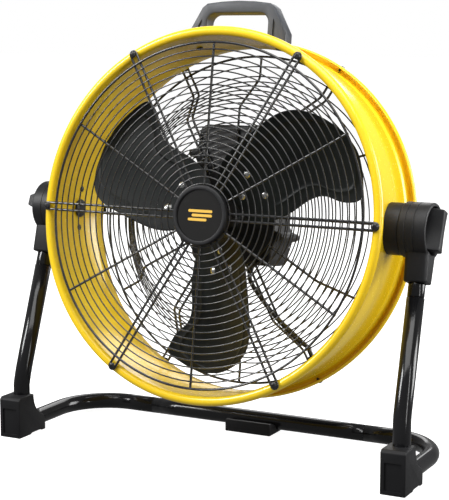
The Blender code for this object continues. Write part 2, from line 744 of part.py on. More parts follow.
def make_hub(impeller):
    hub = turned("impeller_hub", rod_profile(HUB_RADIUS, HUB_FRONT, HUB_BACK), black_paint(),
                 impeller, closed=False)
    for index in range(BLADE_COUNT):
        combine(hub, make_arm(index, impeller), "UNION")
    bore = bmesh.new()
    add_rod(bore, (0, HUB_FRONT - HUB_RADIUS, 0), (0, HUB_BACK + HUB_RADIUS, 0),
            SHAFT_RADIUS + GAP, 16)
    combine(hub, cutter("hub_bore_cutter", bore, impeller), "DIFFERENCE")
    nut_back = HUB_FRONT - GAP
    nut_bore = (SHAFT_RADIUS + GAP) / math.cos(math.pi / 6)
    nut = ring_profile(nut_bore, NUT_RADIUS, nut_back - NUT_THICKNESS, nut_back)
    turned("hub_nut", nut, bright_steel(), impeller, segments=6)


# ---------------------------------------------------------------- motor
def make_rotating_motor(impeller):
    tip = HUB_FRONT - NUT_THICKNESS - SHAFT_TIP - GAP
    end = MOTOR_BACK - MOTOR_WALL - GAP - SHAFT_CLEARANCE
    turned("motor_shaft", rod_profile(SHAFT_RADIUS, tip, end), bright_steel(), impeller,
           segments=16, closed=False)
    rotor = ring_profile(SHAFT_RADIUS + GAP, STATOR_BORE - AIR_GAP,
                         MOTOR_SEAM - CORE_HALF, MOTOR_SEAM + CORE_HALF)
    turned("rotor", rotor, core_steel(), impeller)


def case_profile(wall_side, seam):
    """A cup with a bearing seat; wall_side is +1 when the cup's floor is at low y."""
    floor = MOTOR_FRONT if wall_side > 0 else MOTOR_BACK
    inside = floor + wall_side * MOTOR_WALL
    seat = inside + wall_side * (BEARING_WIDTH + GAP)
    inner = MOTOR_RADIUS - MOTOR_WALL
    shaft_hole = SHAFT_RADIUS + SHAFT_CLEARANCE
    seat_radius = BEARING_RADIUS + GAP
    return [
        (shaft_hole, floor), (MOTOR_RADIUS, floor), (MOTOR_RADIUS, seam), (inner, seam),
        (inner, inside), (seat_radius + MOTOR_WALL, inside), (seat_radius + MOTOR_WALL, seat),
        (seat_radius, seat), (seat_radius, inside), (shaft_hole, inside),
    ]


def make_fixed_motor(head):
    turned("motor_case_front", case_profile(1, MOTOR_SEAM - GAP / 2), core_steel(), head)
    turned("motor_case_rear", case_profile(-1, MOTOR_SEAM + GAP / 2), core_steel(), head)
    coil_inner = STATOR_BORE + COIL_INSET
    coil_outer = STATOR_OUTSIDE - COIL_INSET
    back = [
        (STATOR_OUTSIDE, CORE_HALF), (coil_outer, CORE_HALF),
        (coil_outer, CORE_HALF + COIL_HEIGHT), (coil_inner, CORE_HALF + COIL_HEIGHT),
        (coil_inner, CORE_HALF), (STATOR_BORE, CORE_HALF),
    ]
    front = [(radius, -y) for radius, y in reversed(back)]
    stator = [(radius, MOTOR_SEAM + y) for radius, y in back + front]
    turned("stator", stator, core_steel(), head)
    for label, floor, way in (("front", MOTOR_FRONT, 1), ("rear", MOTOR_BACK, -1)):
        start = floor + way * (MOTOR_WALL + GAP)
        bearing = ring_profile(SHAFT_RADIUS + GAP, BEARING_RADIUS,
                               start, start + way * BEARING_WIDTH)
        turned(f"bearing_{label}", bearing, bright_steel(), head, segments=16)
    front = RECESS_PLANE - RIB_WIRE - 2 * RING_WIRE + WIRE_BITE - GAP
    plate = ring_profile(PLATE_HOLE, MOTOR_RADIUS + PLATE_MARGIN, front - PLATE_THICKNESS, front)
    turned("motor_mount_plate", plate, black_paint(), head)


def housing_outline():
    """Round-cornered box outline, (x, z), with four screw lobes at its corners."""
    middle = (HOUSING_TOP + HOUSING_BOTTOM) / 2
    half = (HOUSING_TOP - HOUSING_BOTTOM) / 2
    side = HOUSING_SIDE
    ear = half - EAR_DROP
    quarter = [
        (side, ear - EAR_HALF - EAR_SHOULDER), (side + EAR_REACH, ear - EAR_HALF),
        (side + EAR_REACH, ear + EAR_HALF), (side + 0.003, ear + EAR_HALF + 0.010),
        (side - 0.001, half - HOUSING_CORNER), (side - HOUSING_CORNER, half),
    ]
    upper = quarter + [(-x, z) for x, z in reversed(quarter)]
    lower = [(-x, -z) for x, z in upper]
    return [(x, z + middle) for x, z in upper + lower]


def housing_cavity():
    side = HOUSING_SIDE - HOUSING_WALL
    top = HOUSING_TOP - HOUSING_WALL
    bottom = HOUSING_BOTTOM + HOUSING_WALL
    corner = HOUSING_INNER_CORNER
    right = [(side - corner, bottom), (side, bottom + corner), (side, top - corner),
             (side - corner, top)]
    return right + [(-x, z) for x, z in reversed(right)]


def make_housing(head):
    front = bmesh.new()
    add_prism(front, housing_outline(), HOUSING_FRONT, HOUSING_SEAM - GAP / 2)
    front_half = mesh_object("motor_housing_front", front, black_plastic(), head)
    rear = bmesh.new()
    add_prism(rear, housing_outline(), HOUSING_SEAM + GAP / 2, HOUSING_BACK)
    rear_half = mesh_object("motor_housing_rear", rear, black_plastic(), head)
    cavity = bmesh.new()
    add_prism(cavity, housing_cavity(), HOUSING_FRONT + HOUSING_WALL, HOUSING_BACK - HOUSING_WALL)
    cavity_tool = cutter("housing_cavity_cutter", cavity, head)
    combine(front_half, cavity_tool, "DIFFERENCE")
    combine(rear_half, cavity_tool, "DIFFERENCE")
    through = 2 * HOUSING_WALL
    holes = bmesh.new()
    add_rod(holes, (0, HOUSING_FRONT - through, 0), (0, HOUSING_FRONT + through, 0),
            BEARING_RADIUS + MOTOR_WALL, 16)
    combine(front_half, cutter("housing_shaft_cutter", holes, head), "DIFFERENCE")
    rear_holes = bmesh.new()
    add_rod(rear_holes, (0, HOUSING_BACK - through, SWITCH_HEIGHT),
            (0, HOUSING_BACK + through, SWITCH_HEIGHT), STEM_RADIUS + STEM_CLEARANCE, 12)
    add_rod(rear_holes, (GLAND_X, GLAND_Y, HOUSING_BOTTOM - through),
            (GLAND_X, GLAND_Y, HOUSING_BOTTOM + through), gland_neck() + 2 * GAP, 12)
    combine(rear_half, cutter("housing_rear_cutter", rear_holes, head), "DIFFERENCE")


def gland_neck():
    return GLAND_RADIUS * 0.7


def make_controls(head):
    back = HOUSING_BACK - HOUSING_WALL - GAP
    half = SWITCH_SIZE / 2
    bm = bmesh.new()
    add_box(bm, (-half, back - SWITCH_DEPTH, SWITCH_HEIGHT - half),
            (half, back, SWITCH_HEIGHT + half))
    switch = mesh_object("speed_switch", bm, black_plastic(), head)
    bore = bmesh.new()
    add_rod(bore, (0, back - SWITCH_BORE_DEPTH, SWITCH_HEIGHT),
            (0, back + SWITCH_BORE_DEPTH, SWITCH_HEIGHT), STEM_RADIUS + STEM_CLEARANCE, 12)
    combine(switch, cutter("switch_bore_cutter", bore, head), "DIFFERENCE")
    box = bmesh.new()
    width, depth, height = CAPACITOR
    start = HOUSING_FRONT + HOUSING_WALL + GAP
    low = (-width / 2, start, SWITCH_HEIGHT - height / 2)
    add_box(box, low, (width / 2, start + depth, SWITCH_HEIGHT + height / 2))
    mesh_object("capacitor", box, grey_plastic(), head)


def make_speed_knob(knob_frame):
    """The rotary knob and its stem, about the knob frame's Y axis."""
    stem_in = -HOUSING_WALL - STEM_INSET
    seat = KNOB_LIFT
    profile = [
        (0.0, stem_in), (STEM_RADIUS, stem_in), (STEM_RADIUS, seat), (KNOB_RADIUS, seat),
        (KNOB_RADIUS, seat + KNOB_DEPTH * 0.25), (KNOB_RADIUS * 0.86, seat + KNOB_DEPTH * 0.4),
        (KNOB_RADIUS * 0.82, seat + KNOB_DEPTH), (0.0, seat + KNOB_DEPTH),
    ]
    turned("speed_knob", profile, black_plastic(), knob_frame, segments=20, closed=False)


# ---------------------------------------------------------------- lead
def smooth_path(points, per_span):
    """Reads a smooth curve through the points, per_span steps between each pair."""
    knots = [Vector(point) for point in points]
    padded = [2 * knots[0] - knots[1]] + knots + [2 * knots[-1] - knots[-2]]
    path = []
    for index in range(1, len(padded) - 2):
        a, b, c, d = padded[index - 1:index + 3]
        for step in range(per_span):
            t = step / per_span
            path.append(0.5 * (2 * b + (c - a) * t + (2 * a - 5 * b + 4 * c - d) * t ** 2
                               + (3 * b - a - 3 * c + d) * t ** 3))
    path.append(knots[-1])
    return path


def lead_route():
    """The lead's points from its gland down and out to the clamp, in the head's frame."""
    start = Vector((GLAND_X, GLAND_Y, HOUSING_BOTTOM - GLAND_LENGTH - 2 * GAP))
    end = clamp_start()
    span = end - start
    middle = [start + Vector((x * span.x, y * span.y, z * span.z)) for x, y, z in LEAD_WAY]
    straight = [end - clamp_direction() * reach for reach in (LEAD_END, LEAD_END / 2, 0.0)]
    return [start] + middle + straight


def clamp_direction():
    return Vector((math.cos(math.radians(-60)), 0.0, math.sin(math.radians(-60))))


def clamp_base():
    """The clamp's underside, on the rear guard's hairpin wires."""
    return REAR_PLANE + RIB_WIRE + GAP


def clamp_start():
    start = clamp_direction() * (GUARD_RADIUS - CLAMP_INSET)
    return Vector((start.x, clamp_base() + CLAMP_HEIGHT / 2, start.z))


def make_lead(head):
    drop = HOUSING_BOTTOM - GAP
    bm = bmesh.new()
    add_rod(bm, (GLAND_X, GLAND_Y, drop), (GLAND_X, GLAND_Y, drop - GLAND_FLANGE),
            GLAND_RADIUS * 1.3, 6)
    gland = mesh_object("lead_gland", bm, rubber(), head)
    neck = bmesh.new()
    add_rod(neck, (GLAND_X, GLAND_Y, drop + 2 * HOUSING_WALL),
            (GLAND_X, GLAND_Y, drop - GLAND_FLANGE / 2), gland_neck(), 10)
    combine(gland, cutter("gland_neck", neck, head), "UNION")
    taper = bmesh.new()
    add_rod(taper, (GLAND_X, GLAND_Y, drop - GLAND_FLANGE * 0.75),
            (GLAND_X, GLAND_Y, drop - GLAND_LENGTH), GLAND_RADIUS, 10, LEAD_RADIUS * 1.15)
    combine(gland, cutter("gland_taper", taper, head), "UNION")
    lead = wire_curve("motor_lead", [(smooth_path(lead_route(), 2), False)], LEAD_RADIUS, 8)
    lead.materials.append(rubber())
    place("motor_lead", lead, head)
    make_lead_clamp(head)


def make_lead_clamp(head):
    """The block that anchors the lead to the rear guard's outer band."""
    out = clamp_direction()
    across = Vector((0.0, 1.0, 0.0))
    frame = Matrix((out, across, out.cross(across))).transposed().to_4x4()
    frame.translation = clamp_start()
    bm = bmesh.new()
    low = (2 * GAP, -CLAMP_HEIGHT / 2, -CLAMP_WIDTH / 2)
    block = add_box(bm, low, (CLAMP_LENGTH, CLAMP_HEIGHT / 2, CLAMP_WIDTH / 2), frame)
    edges = list({edge for vert in block for edge in vert.link_edges})
    bmesh.ops.bevel(bm, geom=edges, offset=0.0015, segments=1, profile=0.5, affect="EDGES",
                    material=-1)
    mesh_object("lead_clamp", bm, black_plastic(), head)


# ---------------------------------------------------------------- pivots
def side_name(side):
    return "right" if side > 0 else "left"


def make_boss(side, head):
    """The block on the drum's flank that the bracket clamps against."""
    label = side_name(side)
    bm = bmesh.new()
    start = DRUM_RADIUS - BOSS_ROOT
    add_rod(bm, (side * start, 0, 0), (side * BOSS_FACE, 0, 0), BOSS_RADIUS, 32)
    boss = mesh_object(f"pivot_boss_{label}", bm, black_plastic(), head)
    tool = bmesh.new()
    wall = rod_profile(DRUM_OUTSIDE + GAP, -1.3 * BOSS_RADIUS, 1.3 * BOSS_RADIUS)
    add_turned(tool, wall, DRUM_SEGMENTS, closed=False)
    combine(boss, cutter(f"boss_seat_cutter_{label}", tool, head), "DIFFERENCE")
    bore = bmesh.new()
    add_rod(bore, (side * (start - BOLT_RADIUS), 0, 0), (side * (BOSS_FACE + BOLT_RADIUS), 0, 0),
            BOLT_RADIUS + GAP, 16)
    combine(boss, cutter(f"boss_bore_cutter_{label}", bore, head), "DIFFERENCE")


def make_bolt(side, head):
    """A wide-headed bolt from inside the drum out to the clamping knob."""
    head_face = DRUM_INSIDE * DRUM_FLAT - 2 * GAP
    head_back = head_face - BOLT_HEAD_THICKNESS
    end = BRACKET_FACE + BOLT_PROUD
    profile = [
        (0.0, head_back), (BOLT_HEAD_RADIUS - BOLT_HEAD_CHAMFER, head_back),
        (BOLT_HEAD_RADIUS, head_back + BOLT_HEAD_CHAMFER), (BOLT_HEAD_RADIUS, head_face),
        (BOLT_RADIUS, head_face), (BOLT_RADIUS, end), (0.0, end),
    ]
    turned(f"pivot_bolt_{side_name(side)}", profile, black_paint(), head, segments=16,
           closed=False, rotation=(0.0, 0.0, -side * math.pi / 2))


def upright_top(side):
    return Vector((side * UPRIGHT_TOP_X, 0.0, PIVOT_HEIGHT))


def upright_way(side):
    foot = Vector((side * (UPRIGHT_TOP_X + UPRIGHT_SPLAY), LEG_Y + LEG_OFFSET,
                   KNEE_HEIGHT + TUBE_RADIUS))
    return (foot - upright_top(side)).normalized()


def upright_point(side, distance):
    return upright_top(side) + upright_way(side) * distance


def socket_frame(side):
    """Axes at the tilt axis: Z down along the upright, X along the tilt axis."""
    down = upright_way(side)
    across = Vector((1.0, 0.0, 0.0))
    forward = down.cross(across).normalized()
    across = forward.cross(down).normalized()
    frame = Matrix((across, forward, down)).transposed().to_4x4()
    frame.translation = upright_top(side)
    return frame


def make_socket(side):
    """The tapered sleeve below the bracket, which the upright tube enters."""
    bm = bmesh.new()
    side_half = TUBE_RADIUS + SOCKET_WALL_SIDE
    front_half = TUBE_RADIUS + SOCKET_WALL_FRONT
    verts = add_box(bm, (-side_half, -front_half, SOCKET_START),
                    (side_half, front_half, SOCKET_END))
    for vert in verts:
        if vert.co.z < SOCKET_START + GAP:
            vert.co.y *= SOCKET_FLARE
    uprights = [edge for edge in bm.edges if abs(edge.verts[0].co.z - edge.verts[1].co.z) > GAP]
    bmesh.ops.bevel(bm, geom=uprights, offset=SOCKET_CORNER, segments=3, profile=0.5,
                    affect="EDGES", material=-1)
    rim = [edge for edge in bm.edges
           if min(vert.co.z for vert in edge.verts) > SOCKET_END - GAP]
    bmesh.ops.bevel(bm, geom=rim, offset=SOCKET_RIM, segments=1, profile=0.5, affect="EDGES",
                    material=-1)
    bmesh.ops.transform(bm, matrix=socket_frame(side), verts=bm.verts)
    return mesh_object(f"socket_{side_name(side)}", bm, black_plastic())


def make_bracket(side):
    label = side_name(side)
    bm = bmesh.new()
    inner = side * (BOSS_FACE + GAP)
    centre = (0.0, PIVOT_HEIGHT)
    add_rod(bm, (inner, *centre), (side * BRACKET_FACE, *centre), BRACKET_RADIUS, 32)
    bracket = mesh_object(f"pivot_bracket_{label}", bm, black_plastic())
    combine(bracket, make_socket(side), "UNION")
    tool = bmesh.new()
    floor = side * (BRACKET_FACE - BRACKET_RECESS)
    add_rod(tool, (floor, *centre), (side * (BRACKET_FACE + BRACKET_RECESS), *centre),
            BRACKET_RADIUS - BRACKET_RIM, 32)
    combine(bracket, cutter(f"bracket_recess_cutter_{label}", tool), "DIFFERENCE")
    bore = bmesh.new()
    add_rod(bore, (inner - side * BOLT_RADIUS, *centre), (floor + side * BOLT_RADIUS, *centre),
            BOLT_RADIUS + BORE_GAP, 16)
    combine(bracket, cutter(f"bracket_bore_cutter_{label}", bore), "DIFFERENCE")
    seat = bmesh.new()
    add_rod(seat, upright_point(side, UPRIGHT_TOP - GAP),
            upright_point(side, SOCKET_END + TUBE_RADIUS),
            (UPRIGHT_RADIUS + GAP) / TUBE_FLAT, TUBE_SIDES)
    combine(bracket, cutter(f"socket_bore_cutter_{label}", seat), "DIFFERENCE")


def make_tilt_knob(side, frame):
    """A flanged knob with a standing grip bar; the frame's Y axis points outwards."""
    label = side_name(side)
    radius = BRACKET_RADIUS - BRACKET_RIM - KNOB_FLANGE_GAP
    flange = rod_profile(radius, KNOB_SEAT, KNOB_SEAT + TILT_KNOB_FLANGE)
    knob = turned(f"tilt_knob_{label}", flange, black_plastic(), frame, segments=32, closed=False)
    bm = bmesh.new()
    half = GRIP_LENGTH / 2
    waist = GRIP_WIDTH / 2
    outline = [
        (-waist * 1.15, -half), (waist * 1.15, -half), (waist * 0.80, 0.0),
        (waist * 1.15, half), (-waist * 1.15, half), (-waist * 0.80, 0.0),
    ]
    add_prism(bm, outline, KNOB_SEAT + TILT_KNOB_FLANGE / 2, TILT_KNOB_FACE)
    combine(knob, cutter(f"tilt_grip_{label}", bm, frame), "UNION")
    bore = bmesh.new()
    add_rod(bore, (0, KNOB_SEAT - BOLT_RADIUS, 0), (0, BRACKET_FACE + BOLT_PROUD + GAP, 0),
            BOLT_RADIUS + BORE_GAP, 16)
    combine(knob, cutter(f"tilt_bore_cutter_{label}", bore, frame), "DIFFERENCE")


# ---------------------------------------------------------------- stand
def bend(centre, start, end, radius, steps):
    """Arc in the plane of two perpendicular unit directions."""
    centre = Vector(centre)
    points = []
    for step in range(steps + 1):
        angle = math.pi / 2 * step / steps
        points.append(centre + radius * (Vector(start) * math.cos(angle)
                                         + Vector(end) * math.sin(angle)))
    return points


def side_tube_path(side):
    """From the upright's joint down the leg, round the foot and back to the cross tube."""
    x = side * BASE_HALF_WIDTH
    knee = upright_point(side, (PIVOT_HEIGHT - KNEE_HEIGHT - KNEE_LENGTH) / -upright_way(side).z)
    leg_top = Vector((x, LEG_Y, KNEE_HEIGHT))
    ankle = (x, LEG_Y + FOOT_BEND, TUBE_HEIGHT + FOOT_BEND)
    heel = (side * (BASE_HALF_WIDTH - REAR_BEND), CROSS_Y - REAR_BEND, TUBE_HEIGHT)
    path = [upright_point(side, UPRIGHT_JOINT), knee, leg_top]
    path += bend(ankle, (0, -1, 0), (0, 0, -1), FOOT_BEND, BEND_STEPS)
    path += bend(heel, (side, 0, 0), (0, 1, 0), REAR_BEND, BEND_STEPS)
    path.append(Vector((side * (CROSS_HALF_LENGTH + GAP / 2), CROSS_Y, TUBE_HEIGHT)))
    return path


def cross_point(x):
    return Vector((x, CROSS_Y, TUBE_HEIGHT))


def make_tubes():
    for side in (-1, 1):
        label = side_name(side)
        hollow_tube(f"side_tube_{label}", side_tube_path(side), TUBE_RADIUS, black_paint())
        shoulder = UPRIGHT_JOINT - GAP - UPRIGHT_NECK
        along = [UPRIGHT_TOP, shoulder, UPRIGHT_JOINT - GAP, UPRIGHT_JOINT + INSERT_LENGTH]
        hollow_tube(f"upright_tube_{label}", [upright_point(side, reach) for reach in along],
                    UPRIGHT_RADIUS, black_paint(), INSERT_RADIUS)
        inner = cross_point(side * (CROSS_HALF_LENGTH - SLEEVE_IN_CROSS))
        outer = cross_point(side * (CROSS_HALF_LENGTH + SLEEVE_IN_SIDE))
        hollow_tube(f"joint_sleeve_{label}", [inner, outer], INSERT_RADIUS, core_steel())
    half = CROSS_HALF_LENGTH - GAP / 2
    hollow_tube("cross_tube", [cross_point(-half), cross_point(half)], TUBE_RADIUS, black_paint())


def boot_outline():
    """The boot's side profile, (y, z), with a hollow back that follows the tube's bend."""
    hollow = arc((LEG_Y + FOOT_BEND, TUBE_HEIGHT + FOOT_BEND), FOOT_BEND - TUBE_RADIUS / 2,
                 180, 250, 6)
    toe = BOOT_FRONT + BOOT_TOE_FLAT
    heel = BOOT_BACK - BOOT_HEEL_FLAT
    return [
        (BOOT_FRONT, 0.0), (toe, 0.0), (toe + 2 * BOOT_RISE, BOOT_RISE),
        (heel - BOOT_RISE, BOOT_RISE), (heel, 0.0), (BOOT_BACK, 0.0), (BOOT_BACK, TUBE_HEIGHT),
    ] + list(reversed(hollow)) + [
        (hollow[0][0], BOOT_HEIGHT), (BOOT_FRONT + BOOT_CORNER, BOOT_HEIGHT),
        (BOOT_FRONT, BOOT_HEIGHT - BOOT_CORNER),
    ]


def make_boots():
    for side in (-1, 1):
        label = side_name(side)
        bm = bmesh.new()
        x = side * BASE_HALF_WIDTH
        half = TUBE_RADIUS + BOOT_WALL
        add_prism(bm, boot_outline(), x - half, x + half, axis="X")
        boot = mesh_object(f"foot_boot_{label}", bm, black_plastic())
        channel = wire_mesh(f"boot_channel_{label}", [(side_tube_path(side), False)],
                            TUBE_RADIUS + GAP, TUBE_SIDES)
        combine(boot, place(f"boot_channel_cutter_{label}", channel), "DIFFERENCE")
        panel = bmesh.new()
        add_box(panel, (x - TUBE_RADIUS, BOOT_FRONT - BOOT_TOE, 3 * BOOT_RISE),
                (x + TUBE_RADIUS, BOOT_FRONT + BOOT_PANEL, BOOT_HEIGHT * 0.72))
        combine(boot, cutter(f"boot_panel_cutter_{label}", panel), "DIFFERENCE")


def make_pad():
    """The rear foot, a wedge that the cross tube lies in."""
    front = CROSS_Y - TUBE_RADIUS - PAD_TOE
    back = CROSS_Y + TUBE_RADIUS + PAD_HEEL
    top = TUBE_HEIGHT + PAD_RISE
    outline = [
        (front, 0.0), (back, 0.0), (back, TUBE_HEIGHT - PAD_RISE), (back - PAD_RISE, TUBE_HEIGHT),
        (CROSS_Y - TUBE_RADIUS, TUBE_HEIGHT - PAD_RISE), (front + 2 * PAD_RISE, top),
        (front, top),
    ]
    bm = bmesh.new()
    add_prism(bm, outline, -PAD_HALF_WIDTH, PAD_HALF_WIDTH, axis="X")
    pad = mesh_object("rear_pad", bm, black_plastic())
    tool = bmesh.new()
    end = PAD_HALF_WIDTH + TUBE_RADIUS
    add_rod(tool, cross_point(-end), cross_point(end), (TUBE_RADIUS + GAP) / TUBE_FLAT,
            TUBE_SIDES)
    combine(pad, cutter("pad_channel_cutter", tool), "DIFFERENCE")


# ---------------------------------------------------------------- assembly
def main():
    clear_scene()
    head = empty("head_frame", (0.0, 0.0, PIVOT_HEIGHT), (-REST_TILT, 0.0, 0.0))
    impeller = empty("impeller_frame", (0.0, 0.0, 0.0), parent=head)
    knob = empty("speed_knob_frame", (0.0, HOUSING_BACK, SWITCH_HEIGHT), parent=head)
    make_drum(head)
    make_front_guard(head)
    make_rear_guard(head)
    make_guard_screws(head)
    make_badge(head)
    make_handle(head)
    make_blades(impeller)
    make_hub(impeller)
    make_rotating_motor(impeller)
    make_fixed_motor(head)
    make_housing(head)
    make_controls(head)
    make_speed_knob(knob)
    make_lead(head)
    for side in (-1, 1):
        make_boss(side, head)
        make_bolt(side, head)
        make_bracket(side)
        frame = empty(f"tilt_knob_frame_{side_name(side)}", (0.0, 0.0, PIVOT_HEIGHT),
                      (0.0, 0.0, -side * math.pi / 2))
        lean = -GRIP_LEAN_RIGHT if side > 0 else -GRIP_LEAN_LEFT
        grip = empty(f"tilt_grip_frame_{side_name(side)}", (0.0, 0.0, 0.0),
                     (0.0, lean, 0.0), parent=frame)
        make_tilt_knob(side, grip)
    make_tubes()
    make_boots()
    make_pad()


main()
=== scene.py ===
import json
import math

import bmesh
import bpy
from mathutils import Matrix, Vector


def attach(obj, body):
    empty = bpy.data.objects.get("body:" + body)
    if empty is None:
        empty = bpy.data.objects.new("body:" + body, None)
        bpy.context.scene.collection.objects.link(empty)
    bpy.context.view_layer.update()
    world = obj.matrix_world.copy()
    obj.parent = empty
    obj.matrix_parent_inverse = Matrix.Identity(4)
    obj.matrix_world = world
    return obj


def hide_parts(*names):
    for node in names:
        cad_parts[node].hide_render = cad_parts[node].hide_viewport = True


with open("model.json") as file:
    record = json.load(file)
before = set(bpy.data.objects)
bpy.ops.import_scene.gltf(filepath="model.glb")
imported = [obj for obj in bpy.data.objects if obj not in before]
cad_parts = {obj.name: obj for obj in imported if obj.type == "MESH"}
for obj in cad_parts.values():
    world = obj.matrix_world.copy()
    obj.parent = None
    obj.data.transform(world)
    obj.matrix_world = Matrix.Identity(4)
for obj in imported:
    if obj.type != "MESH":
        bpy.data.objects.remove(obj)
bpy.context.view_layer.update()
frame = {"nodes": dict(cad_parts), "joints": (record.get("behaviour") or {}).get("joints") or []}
joints = {joint["name"]: joint for joint in frame["joints"]}
pivot = Vector(joints["head_tilt"]["pos_m"])
fanAxis = Vector(joints["impeller_spin"]["axis"])

# The head's own frame: origin on the tilt axis, Y along the fan's axis towards the rear.
headFrame = Matrix.Translation(pivot) @ Matrix.Rotation(math.atan2(fanAxis.z, fanAxis.y), 4, "X")
print("frame loaded")


# A value that runs through a material's nodes; sums and products add their own nodes.
class Flow:
    def __init__(self, tree, socket):
        self.tree = tree
        self.socket = socket

    def join(self, operation, other):
        node = self.tree.nodes.new("ShaderNodeMath")
        node.operation = operation
        for slot, value in zip(node.inputs, (self, other)):
            feed(self.tree, slot, value)
        return Flow(self.tree, node.outputs[0])

    def __add__(self, other):
        return self.join("ADD", other)

    __radd__ = __add__

    def __sub__(self, other):
        return self.join("SUBTRACT", other)

    def __mul__(self, other):
        return self.join("MULTIPLY", other)


def feed(tree, slot, value):
    if isinstance(value, Flow):
        tree.links.new(value.socket, slot)
    else:
        slot.default_value = value


class Finish:
    def __init__(self, name, **fixed):
        self.material = bpy.data.materials.new(name)
        self.material.use_nodes = True
        self.tree = self.material.node_tree
        self.shader = self.tree.nodes["Principled BSDF"]
        for label, value in fixed.items():
            self.shader.inputs[label.replace("_", " ")].default_value = value

    def make(self, kind, sockets, settings=None, output=0):
        node = self.tree.nodes.new(kind)
        for label, value in (settings or {}).items():
            setattr(node, label, value)
        for label, value in sockets.items():
            feed(self.tree, node.inputs[label], value)
        return Flow(self.tree, node.outputs[output])

    def spot(self, stretch=(1.0, 1.0, 1.0)):
        where = self.make("ShaderNodeTexCoord", {}, output="Object")
        return self.make("ShaderNodeMapping", {"Vector": where, "Scale": stretch})

    def noise(self, scale, detail=3.0, roughness=0.5, stretch=(1.0, 1.0, 1.0)):
        return self.make("ShaderNodeTexNoise", {
            "Vector": self.spot(stretch), "Scale": scale, "Detail": detail,
            "Roughness": roughness})

    def cells(self, scale):
        return self.make("ShaderNodeTexVoronoi", {"Vector": self.spot(), "Scale": scale})

    # Spreads the values between two levels over the whole range.
    def ramp(self, value, low, high):
        flow = self.make("ShaderNodeValToRGB", {"Fac": value})
        stops = flow.socket.node.color_ramp.elements
        for stop, place, shade in zip(stops, (low, high), (0.0, 1.0)):
            stop.position = place
            stop.color = (shade, shade, shade, 1.0)
        return flow

    def mix(self, factor, first, second):
        node = self.tree.nodes.new("ShaderNodeMix")
        node.data_type = "RGBA"
        for index, value in ((0, factor), (6, first), (7, second)):
            if not isinstance(value, Flow) and index:
                value = (*value, 1.0)
            feed(self.tree, node.inputs[index], value)
        return Flow(self.tree, node.outputs[2])

    def bump(self, height, strength, distance, under=None):
        sockets = {"Height": height, "Strength": strength, "Distance": distance}
        if under is not None:
            sockets["Normal"] = under
        return self.make("ShaderNodeBump", sockets)

    def surface(self, colour, roughness, normal=None):
        wanted = {"Base Color": colour, "Roughness": roughness, "Normal": normal}
        for label, value in wanted.items():
            if value is not None:
                feed(self.tree, self.shader.inputs[label], value)
        return self.material


# Sprayed enamel on sheet metal: a faint orange peel, dust specks and slow shade changes.
def enamel(name, deep, bright, roughness, peel, **fixed):
    look = Finish(name, **fixed)
    cloud = look.ramp(look.noise(5.0, 2.0), 0.3, 0.7)
    speck = look.ramp(look.noise(210.0, 2.0), 0.64, 0.74)
    colour = look.mix(cloud, deep, bright)
    colour = look.mix(speck * 0.12, colour, tuple(min(1.0, 2.0 * part + 0.02) for part in deep))
    shine = roughness + look.noise(24.0, 4.0) * 0.08 + speck * 0.1
    skin = look.bump(look.noise(420.0, 2.0), peel, 0.0004)
    return look.surface(colour, shine, skin)


# Injection-moulded plastic: a spark-eroded grain with a slow change of sheen.
def moulded(name, deep, bright, roughness, grain=0.35, scale=1500.0, **fixed):
    look = Finish(name, **fixed)
    cloud = look.ramp(look.noise(16.0, 4.0), 0.35, 0.7)
    rub = look.ramp(look.noise(60.0, 6.0, 0.7, (1.0, 1.0, 0.25)), 0.52, 0.72)
    colour = look.mix(cloud * 0.7 + rub * 0.3, deep, bright)
    shine = roughness + look.noise(35.0, 4.0) * 0.14 - rub * 0.06
    skin = look.bump(look.cells(scale), grain, 0.00025)
    skin = look.bump(look.noise(scale * 0.4, 3.0), grain * 0.6, 0.0003, skin)
    return look.surface(colour, shine, skin)


# Machined or drawn steel: fine scratches along one direction.
def steel(name, deep, bright, roughness, stretch=(1.0, 1.0, 1.0), scale=300.0):
    look = Finish(name, Metallic=1.0)
    lines = look.noise(scale, 5.0, 0.65, stretch)
    stain = look.ramp(look.noise(40.0, 4.0), 0.4, 0.75)
    colour = look.mix(stain * 0.5 + lines * 0.5, deep, bright)
    skin = look.bump(lines, 0.3, 0.0002)
    return look.surface(colour, roughness + lines * 0.2, skin)


# Stacked laminations seen edge on, in varnish.
def laminated(name, deep, bright):
    look = Finish(name, Metallic=0.8)
    layers = look.make("ShaderNodeTexWave", {"Vector": look.spot(), "Scale": 320.0,
                                             "Distortion": 0.6}, {"bands_direction": "Y"})
    colour = look.mix(layers, deep, bright)
    return look.surface(colour, 0.35 + layers * 0.2, look.bump(layers, 0.5, 0.0003))


# The pressed blades: a dark coat with a cloudy sheen, a fine grain and a little dust.
def bladeCoat():
    look = Finish("bladeCoat", Specular_IOR_Level=0.16)
    cloud = look.ramp(look.noise(7.0, 4.0, 0.6), 0.32, 0.7)
    dust = look.ramp(look.noise(90.0, 6.0, 0.7), 0.52, 0.8)
    colour = look.mix(cloud, (0.006, 0.007, 0.007), (0.016, 0.019, 0.018))
    colour = look.mix(dust * 0.25, colour, (0.05, 0.05, 0.045))
    shine = 0.30 + cloud * 0.08 + dust * 0.12
    skin = look.bump(look.noise(380.0, 3.0), 0.22, 0.0004)
    return look.surface(colour, shine, skin)


